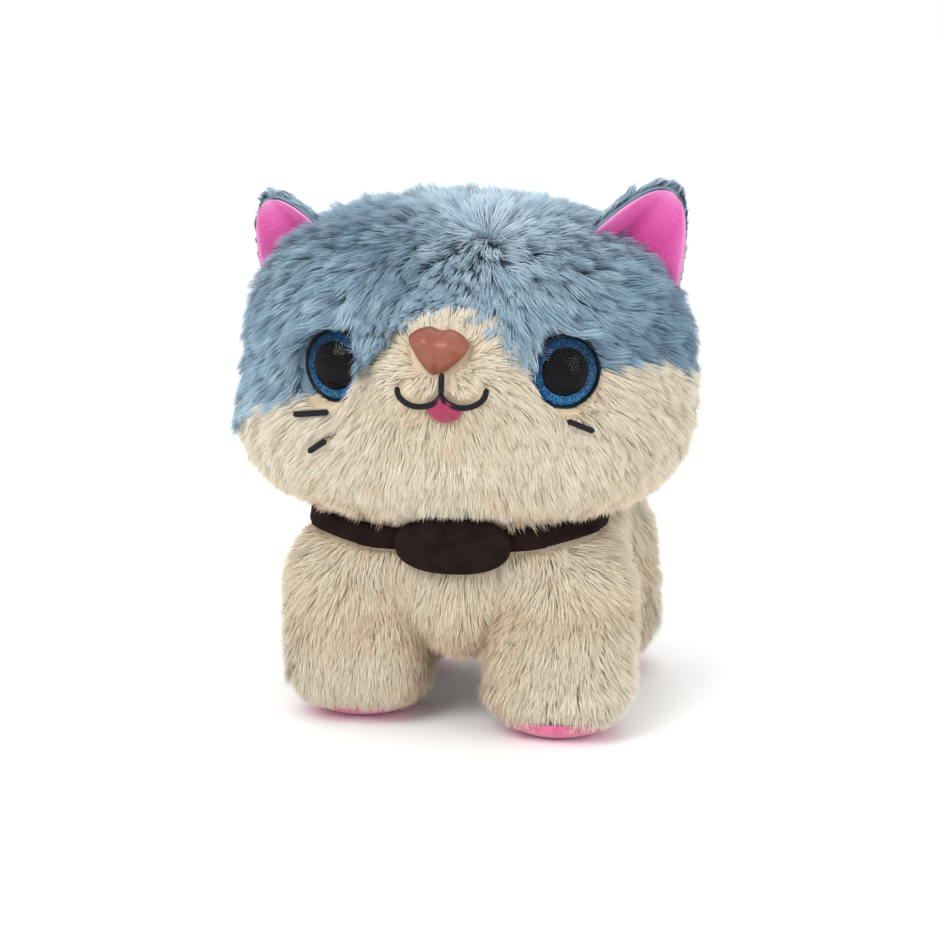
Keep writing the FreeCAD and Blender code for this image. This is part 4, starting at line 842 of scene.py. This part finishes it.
def head_comb(points):
    """Out from the whorl over the crown, and out and down from the nose over the face."""
    from_whorl = unit(points - WHORL)
    from_whorl *= np.clip(np.linalg.norm(points - WHORL, axis=1, keepdims=True) / 13, 0, 1)
    from_whorl += [0.1, -0.12, -0.25]
    from_nose = unit(points - (NOSE + [0, 0, -4])) + [0, 0, -0.9]
    near_nose = np.linalg.norm(points - NOSE, axis=1)
    round_nose = unit(points - (NOSE + [0, 0, -2])) + [0, 0, -0.1]
    from_nose = np.where((near_nose < 20)[:, None], round_nose, from_nose)
    bridge = (np.abs(points[:, 0]) < 15) & (points[:, 2] > NOSE[2] + 1.5)
    from_nose = np.where(bridge[:, None], np.column_stack([0.03 * points[:, 0], 0 * points[:, 1] + 0.3,
                                                           0 * points[:, 2] + 1]), from_nose)
    flow = np.where(in_face(points)[:, None], from_nose, from_whorl)
    for side in SIDES:
        away, _ = from_eye(points, side)
        flow = flow + (0.9 * np.exp(-((away - 11) / 5) ** 2))[:, None] * unit(points - eye_centre(side))
    return flow


def socketed(skin):
    """The head's skin pressed in behind each eye."""
    points = skin.points.copy()
    for side in SIDES:
        away, height = from_eye(points, side)
        floor = np.where(away < EYE_RADIUS + 1.2, -2.4, 100)
        points += np.where(height > floor, floor - height, 0)[:, None] * eye_axis(side)
    return Skin(points, skin.faces, normals_of(points, skin.faces))


def head():
    skin = socketed(star(head_field, HEAD + [0, -2, -7], level=7))
    skin = without(skin, lambda middles: torso_field(middles) < -2)
    crown = place_skin("crown_cloth", without(skin, in_face), BLUE_CLOTH, "head", "blue_plush", "crown_plush")
    face = place_skin("face_cloth", without(skin, lambda middles: ~in_face(middles)), CREAM_CLOTH, "head",
                      "cream_plush", "face_plush")

    def crown_length(points):
        above_nose = np.linalg.norm(points - (NOSE + [0, 8, 14]), axis=1)
        return 11.0 * np.clip(above_nose / 26, 0.3, 1)

    def face_length(points):
        return 10.0 * np.clip(np.linalg.norm(points - NOSE, axis=1) / 34, 0.52, 1)

    def crown_tone_and_painted_light(points, normals):
        # lighter where the pile faces up, painted light from above; a random drift; and lighter round the
        # whorl, painted light over the shade of its parting
        whorl = np.exp(-(np.linalg.norm(points - WHORL, axis=1) / 9) ** 2)
        return 0.5 + 0.14 * normals[:, 2] + 0.1 * drift(points, 16, 5) + 0.2 * whorl

    def face_tone_and_painted_light(points, normals):
        # lighter where the pile faces up, painted light from above, and peach close to the body, painted
        # shade under the chin
        return 0.62 + 0.14 * normals[:, 2] - 0.3 * np.exp(-np.maximum(torso_field(points), 0) / 7)

    pile("crown_pile", "head", "blue_plush", BLUE_PILE, without(skin, in_face), head_comb, 4.6, crown_length,
         crown_tone_and_painted_light, head_avoid, seed=11)
    pile("face_pile", "head", "cream_plush", CREAM_PILE, without(skin, lambda middles: ~in_face(middles)),
         head_comb, 5.2, face_length, face_tone_and_painted_light, head_avoid, width=0.3, clump=2.4, unruly=0.7, seed=12)


def place_skin(name, skin, material, body, slot, *nodes):
    skin = used(skin)
    return place(mesh_object(name, skin.points, skin.faces, material), body, slot, *nodes)


head()

# ---- ears ----

EAR_TILT = 28.0
EAR_YAW = 25.0
EAR_SEAT = np.array([-18.0, 7.2, -23.0])
EAR_LIFT = {"left": 3.7, "right": -1.7}
EAR_DROP = 16.0
EAR_UP, EAR_OVER = np.meshgrid(np.linspace(0, 0.998, 26), np.linspace(-1, 1, 25), indexing="ij")
EAR_MIDDLE = 12


def ear_grid(side, half_base, reach, forward, dent):
    """A cupped ear as a grid of points: rows from its base to its tip, columns from edge to edge."""
    up, over = EAR_UP, EAR_OVER
    half = half_base * (1 - up) ** 0.5
    hollow = 6.5 * (1 - over ** 2) * (1 - up) ** 0.5
    crease = dent * np.exp(-((over + 0.3) / 0.17) ** 2) * (1 - up)
    local = np.stack([over * half, hollow + crease - forward, up * reach - EAR_DROP], axis=-1)
    tilt, yaw = (Matrix.Rotation(math.radians(angle), 3, axis)
                 for angle, axis in ((EAR_TILT, "Y"), (EAR_YAW, "Z")))
    spin = np.array(tilt @ yaw)
    low, high = span("ear_left_back")
    points = local @ spin.T + np.array([high[0], low[1], high[2]]) + EAR_SEAT
    points[..., 2] += EAR_LIFT[side]
    points[..., 0] *= SIDES[side]
    return points[:, ::-1] if side == "right" else points


def ear_edge_light_and_fold_shade(side):
    """How near each point of an ear's grid is to its edge, and less in its fold: how much painted light the
    lining gets at its rolled edge, with painted shade in the fold.
    """
    up, over = EAR_UP, EAR_OVER
    fold = np.exp(-((over + 0.3) / 0.2) ** 2) * (1 - up)
    # rises near the rolled edge as painted light, and is taken down in the fold as painted shade
    edge = np.clip(0.45 + 0.55 * np.maximum(np.abs(over), up) ** 5 - 0.4 * fold, 0, 1)
    return edge[:, ::-1] if side == "right" else edge


def ears():
    for side in SIDES:
        points, faces = shell(ear_grid(side, 22.3, 39.2, 0.0, 4.5), ear_grid(side, 22.0, 39.2, -3.2, 4.5))
        back = mesh_object(f"ear_{side}_cloth", points, faces, BLUE_CLOTH)
        place(back, "head", "blue_plush", f"ear_{side}_back")
        points, faces = shell(ear_grid(side, 22.0, 38.4, 1.0, 4.5), ear_grid(side, 22.0, 38.4, 0.2, 4.5))
        lining = mesh_object(f"ear_{side}_minky", points, faces, PINK_LINING)
        edge = lining.data.attributes.new("edge", "FLOAT", "POINT")
        edge.data.foreach_set("value", np.tile(ear_edge_light_and_fold_shade(side).ravel(), 2).astype(np.float32))
        place(lining, "head", "pink_lining", f"ear_{side}_lining")
        ear_pile(side, back, lining)


def ear_pile(side, back, lining):
    """Blue pile on the back and the rim of an ear, clear of its pink lining."""
    points = points_of(back)
    faces = triangles([list(face.vertices) for face in back.data.polygons])
    rows = len(points) // 2
    grid = points[:rows].reshape(*EAR_UP.shape, 3)
    fanned = unit(points - grid[0, EAR_MIDDLE])
    skin = Skin(points, faces, unit(normals_of(points, faces) + 0.9 * fanned))
    tree = search_tree(points_of(lining))
    tip = grid[-1, EAR_MIDDLE]
    base = grid[0, EAR_MIDDLE]

    def keep(roots):
        clear = np.array([tree.find(root)[2] for root in roots]) > 1.5
        return clear & (head_field(roots) > -3)

    def avoid(points):
        return np.array([tree.find(point)[2] for point in points]) < 0.9

    def comb(roots):
        return unit(roots - (base * 0.8 + tip * 0.2)) * 0.4 + unit(tip - base) + [0, 0.5, 0]

    def tone(roots, normals):
        return np.full(len(roots), 0.72)

    pile(f"ear_{side}_pile", "head", "blue_plush", BLUE_PILE, skin, comb, 5.0,
         lambda roots: np.full(len(roots), 5.2), tone, avoid, keep, lifts=(50, 25, 5), clump=2.4,
         seed=20 + SIDES[side])


ears()

# ---- body ----

DOOR_LOW, DOOR_HIGH = span("battery_door", "power_switch_slider")
STRAP_BOTTOM = span("collar_strap")[0][2]


def in_opening(points, room=0.8):
    """The opening in the belly round the battery door and the switch."""
    inside = (points[:, :2] > DOOR_LOW[:2] - room) & (points[:, :2] < DOOR_HIGH[:2] + [0, 5] + room)
    return inside.all(axis=1) & (points[:, 2] < 40)


def softened(name, node, voxel, swell, material):
    """A new piece with the shape of a CAD node, its edges rounded off and its sides swollen a little."""
    made = bpy.data.objects.new(name, frame["nodes"][node].data.copy())
    bpy.context.scene.collection.objects.link(made)
    made.data.materials.clear()
    made.data.materials.append(material)
    weld = made.modifiers.new("weld", "WELD")
    weld.merge_threshold = 0.00001
    remesh = made.modifiers.new("remesh", "REMESH")
    remesh.mode = "VOXEL"
    remesh.voxel_size = voxel
    swollen = made.modifiers.new("swell", "DISPLACE")
    swollen.strength = swell
    swollen.mid_level = 0
    smooth = made.modifiers.new("smooth", "SMOOTH")
    smooth.iterations = 6
    smooth.factor = 0.6
    final = bpy.data.meshes.new_from_object(made.evaluated_get(bpy.context.evaluated_depsgraph_get()))
    made.modifiers.clear()
    made.data = final
    final.materials.clear()
    final.materials.append(material)
    final.polygons.foreach_set("use_smooth", [True] * len(final.polygons))
    return made


STRAP_PROUD = 1.6
STRAP_LIFT = 5.5
STRAP_SLANT = 1.7


def slope_of(field, points, step=0.3):
    """The direction in which a field grows."""
    rises = [field(points + shift) - field(points - shift) for shift in np.eye(3) * step]
    return unit(np.stack(rises, axis=1))


MEDALLION_SHIFT = np.array([1.2, 0, 2.4])


def collar():
    strap = softened("collar_strap_velvet", "collar_strap", 0.0006, 0.0007, COLLAR_CLOTH)
    points = points_of(strap)
    stand_off = block_field(points, torso_low, torso_high) + STRAP_PROUD
    lift = STRAP_LIFT + STRAP_SLANT * np.sign(points[:, 0])
    points[:, 2] += lift * np.clip(np.abs(points[:, 0]) / 50, 0, 1) ** 2
    for _ in range(3):
        points -= (torso_field(points) - stand_off)[:, None] * slope_of(torso_field, points)
    strap.data.vertices.foreach_set("co", (points * MM).astype(np.float32).ravel())
    place(strap, "torso", "collar_fabric", "collar_strap")
    low, high = span("collar_medallion")
    middle = (low + high) / 2
    directions, faces = ball(6)
    across, along, up = (np.sign(directions) * np.abs(directions) ** 0.86).T
    shape = np.column_stack([across * 18.8, along * 5.4, up * 9.5])
    slant = shape[:, 2] - 0.22 * shape[:, 0] - 0.4
    crease = 1.3 * np.exp(-(slant / 1.3) ** 2) * np.clip(1 - (shape[:, 0] / 14) ** 2, 0, 1)
    folds = np.sin(shape[:, 0] * 0.9 + shape[:, 2] * 0.6)
    wrinkle = 0.35 * folds * np.clip(1 - np.abs(shape[:, 2]) / 9, 0, 1)
    shape[:, 1] += np.where(along < 0, crease + wrinkle, 0)
    points = shape + ([middle[0], low[1] + 0.6, middle[2]] + MEDALLION_SHIFT)
    pad = place(mesh_object("collar_medallion_velvet", points, faces, COLLAR_CLOTH), "torso", "collar_fabric",
                "collar_medallion")
    return low, high, strap


medallion_low, medallion_high, strap_velvet = collar()
STRAP = search_tree(points_of(strap_velvet))


def torso_avoid(points):
    """What the body's pile leaves open: under the strap and medallion, and over the belly's opening."""
    band = (points[:, 2] > STRAP_BOTTOM - 4) & (head_field(points) > -6)
    blocked = in_opening(points)
    close = np.zeros(len(points), bool)
    close[band] = [STRAP.find(point)[2] < 2.2 for point in points[band]]
    offset = (points - (medallion_low + medallion_high) / 2 - MEDALLION_SHIFT) / [19.5, 8, 10.2]
    disc = (offset[:, 0] ** 2 + offset[:, 2] ** 2 < 1) & (points[:, 1] < -66)
    return blocked | close | disc


def torso():
    skin = star(torso_field, TORSO)
    skin = without(skin, lambda middles: (head_field(middles) < -2) | in_opening(middles, 0.2))
    cloth = place_skin("torso_cloth", skin, CREAM_CLOTH, "torso", "cream_plush", "torso_plush")

    def comb(points):
        return np.column_stack([0.004 * points[:, 0], 0.45 + 0 * points[:, 1], -1 + 0 * points[:, 2]])

    def keep(roots):
        clear = (head_field(roots) > -4) & ~in_opening(roots)
        for field in LEG_FIELDS.values():
            clear &= field(roots) > -3
        return clear

    def length(roots):
        return np.full(len(roots), 9.5)

    def tone(roots, normals):
        # painted light and shade: peach in the creases by the legs and the head and along the bottom of the
        # body as painted shade, lighter where the pile faces up as painted light from above
        legs = np.min([field(roots) for field in LEG_FIELDS.values()], axis=0)
        crease = 0.16 * np.exp(-np.maximum(legs, 0) / 3) + 0.2 * np.exp(-np.maximum(head_field(roots), 0) / 7)
        crease += 0.22 * np.exp(-np.maximum(roots[:, 2] - torso_low[2], 0) / 5)
        return 0.56 + 0.12 * normals[:, 2] - crease

    pile("torso_pile", "torso", "cream_plush", CREAM_PILE, skin, comb, 4.0, length, tone, torso_avoid, keep,
         width=0.3, unruly=0.5, seed=31)


torso()

# ---- legs ----


def sole(name):
    """The pink pad under a foot, flat in the middle and curled up at its edge."""
    low, high = span(name + "_sole")
    middle, half = (low + high) / 2, (high - low) / 2
    round_, out = np.meshgrid(np.linspace(0, 2 * np.pi, 49), np.linspace(0.02, 1, 14), indexing="ij")
    rise = 6.0 * out ** 4
    local = np.stack([np.cos(round_) * out * (half[0] + 1.6),
                      np.sin(round_) * out * (half[1] + 1.4), rise], axis=-1)
    top = local + [middle[0], middle[1], 1.3]
    bottom = local + [middle[0], middle[1], 0.1]
    made = mesh_object(f"{name}_pad", *shell(bottom, top), SOLE_CLOTH)
    place(made, name, "sole_fabric", name + "_sole")


def leg(name, seed):
    field = LEG_FIELDS[name]
    foot = leg_foot(name)
    skin = star(field, np.array([foot[0], foot[1] * 0.5 + hip_along(name) * 0.5, 24]))
    skin = without(skin, lambda middles: torso_field(middles) < -3)
    cloth = place_skin(f"{name}_cloth", skin, CREAM_CLOTH, name, "cream_plush", name + "_plush")
    sole(name)

    def comb(points):
        outward = unit((points - foot) * [1, 1, 0])
        return 0.25 * outward + [0, 0, -1]

    def keep(roots):
        return (roots[:, 2] > 6.8) & (torso_field(roots) > -3)

    def avoid(points):
        shown = np.abs(points[:, 0] - foot[0] - 2) < (8 if name == "leg_front_left" else 15)
        return points[:, 2] < np.where(shown, 3.4, 1.0)

    def length(roots):
        return 9.5 * np.clip(roots[:, 2] / 18, 0.42, 1)

    def tone(roots, normals):
        # painted light and shade: lighter where the pile faces up, peach where the leg meets the body and on
        # the leg's inner side
        inward = -normals[:, 0] * np.sign(foot[0])
        return (0.58 + 0.1 * normals[:, 2] - 0.2 * np.exp(-np.maximum(torso_field(roots), 0) / 3)
                - 0.22 * np.clip(inward, 0, 1))

    pile(f"{name}_pile", name, "cream_plush", CREAM_PILE, skin, comb, 4.4, length, tone, avoid, keep,
         width=0.3, unruly=0.55, seed=seed)


for number, leg_name in enumerate(LEGS):
    leg(leg_name, 41 + number)

# ---- tail ----

TAIL_BEND = 41.0
TAIL_HALF = 9.0
TAIL_RADIUS = 6.2
TAIL_RINGS = 40
TAIL_SIDES = 28


def tail():
    """A tail that rises from the back in a quarter of a circle."""
    low, _ = span("tail_plush")
    root = np.array([0, low[1] + TAIL_HALF, low[2] + TAIL_HALF - 0.5])
    angles = np.radians(np.linspace(-4, 96, TAIL_RINGS))
    middle = np.array([0, root[1], root[2] + TAIL_BEND])
    line = middle + np.column_stack([0 * angles, np.sin(angles), -np.cos(angles)]) * TAIL_BEND
    ahead = np.column_stack([0 * angles, np.cos(angles), np.sin(angles)])
    side = np.array([1.0, 0, 0])
    out = np.cross(ahead, side)
    share = np.linspace(0, 1, TAIL_RINGS)
    thick = TAIL_RADIUS * np.sqrt(np.clip(np.minimum(share * 14 + 0.3, (1 - share) * 11), 0.001, 1))
    around = np.linspace(0, 2 * np.pi, TAIL_SIDES, endpoint=False)
    rings = line[:, None] + thick[:, None, None] * (np.cos(around)[None, :, None] * side
                                                    + np.sin(around)[None, :, None] * out[:, None])
    points = rings.reshape(-1, 3)
    faces = triangles(tube_faces(TAIL_RINGS, TAIL_SIDES))
    normals = normals_of(points, faces)
    outward = np.repeat(line, TAIL_SIDES, axis=0)
    if ((points - outward) * normals).sum() < 0:
        faces, normals = faces[:, ::-1], -normals
    skin = Skin(points, faces, normals)
    cloth = place_skin("tail_cloth", skin, BLUE_CLOTH, "tail", "blue_plush", "tail_plush")

    def comb(roots):
        above = roots[:, 2] - root[2]
        return np.column_stack([0 * above, 60 - 0.6 * above, above + 12])

    pile("tail_pile", "tail", "blue_plush", BLUE_PILE, skin, comb, 4.0,
         lambda roots: np.full(len(roots), 8.5), lambda roots, normals: np.full(len(roots), 0.5),
         keep=lambda roots: torso_field(roots) > 0.5, seed=51)


tail()

# ---- floor ----


FLOOR_HALF = 20000


def floor():
    made, _, principled = shader("floor", 0.9, Specular_IOR_Level=0.1)
    principled.inputs["Base Color"].default_value = (0.98, 0.98, 0.98, 1)
    corners = [(x * FLOOR_HALF, y * FLOOR_HALF, 0) for x, y in ((-1, -1), (1, -1), (1, 1), (-1, 1))]
    mesh_object("floor", corners, [(0, 1, 2, 3)], made, smooth=False)


floor()

# ---- the CAD parts inside ----


def works_materials():
    return {
        "chassis_plastic": grained("chassis_moulding", srgb(222, 220, 210), srgb(236, 234, 226), 0.55,
                                   40, 900, 0.00005),
        "door_plastic": grained("door_moulding", srgb(72, 74, 78), srgb(90, 92, 97), 0.55, 50, 1100, 0.00006),
        "gear_plastic": grained("gear_acetal", srgb(236, 234, 226), srgb(247, 246, 240), 0.4,
                                60, 800, 0.00003),
        "steel": grained("bright_steel", srgb(168, 170, 174), srgb(205, 206, 210), 0.3, 250, 1800, 0.00002,
                         Metallic=1.0),
        "cell_jacket": grained("cell_jacket", srgb(24, 66, 44), srgb(34, 86, 58), 0.3, 80, 700, 0.00002,
                               Coat_Weight=0.5),
        "board": grained("solder_mask", srgb(12, 70, 34), srgb(22, 96, 48), 0.35, 300, 900, 0.00003,
                         Coat_Weight=0.4),
        "component": grained("component_moulding", srgb(18, 18, 20), srgb(34, 34, 38), 0.5,
                             200, 1200, 0.00004),
        "eye_black": EYE_BLACK,
        "thread": THREAD,
    }


def works():
    materials = works_materials()
    for subpart in frame["record"]["subparts"]:
        cad = frame["nodes"][subpart["node"]]
        if not cad.hide_render:
            cad.data.materials.clear()
            cad.data.materials.append(materials[subpart["material_slot"]])


works()
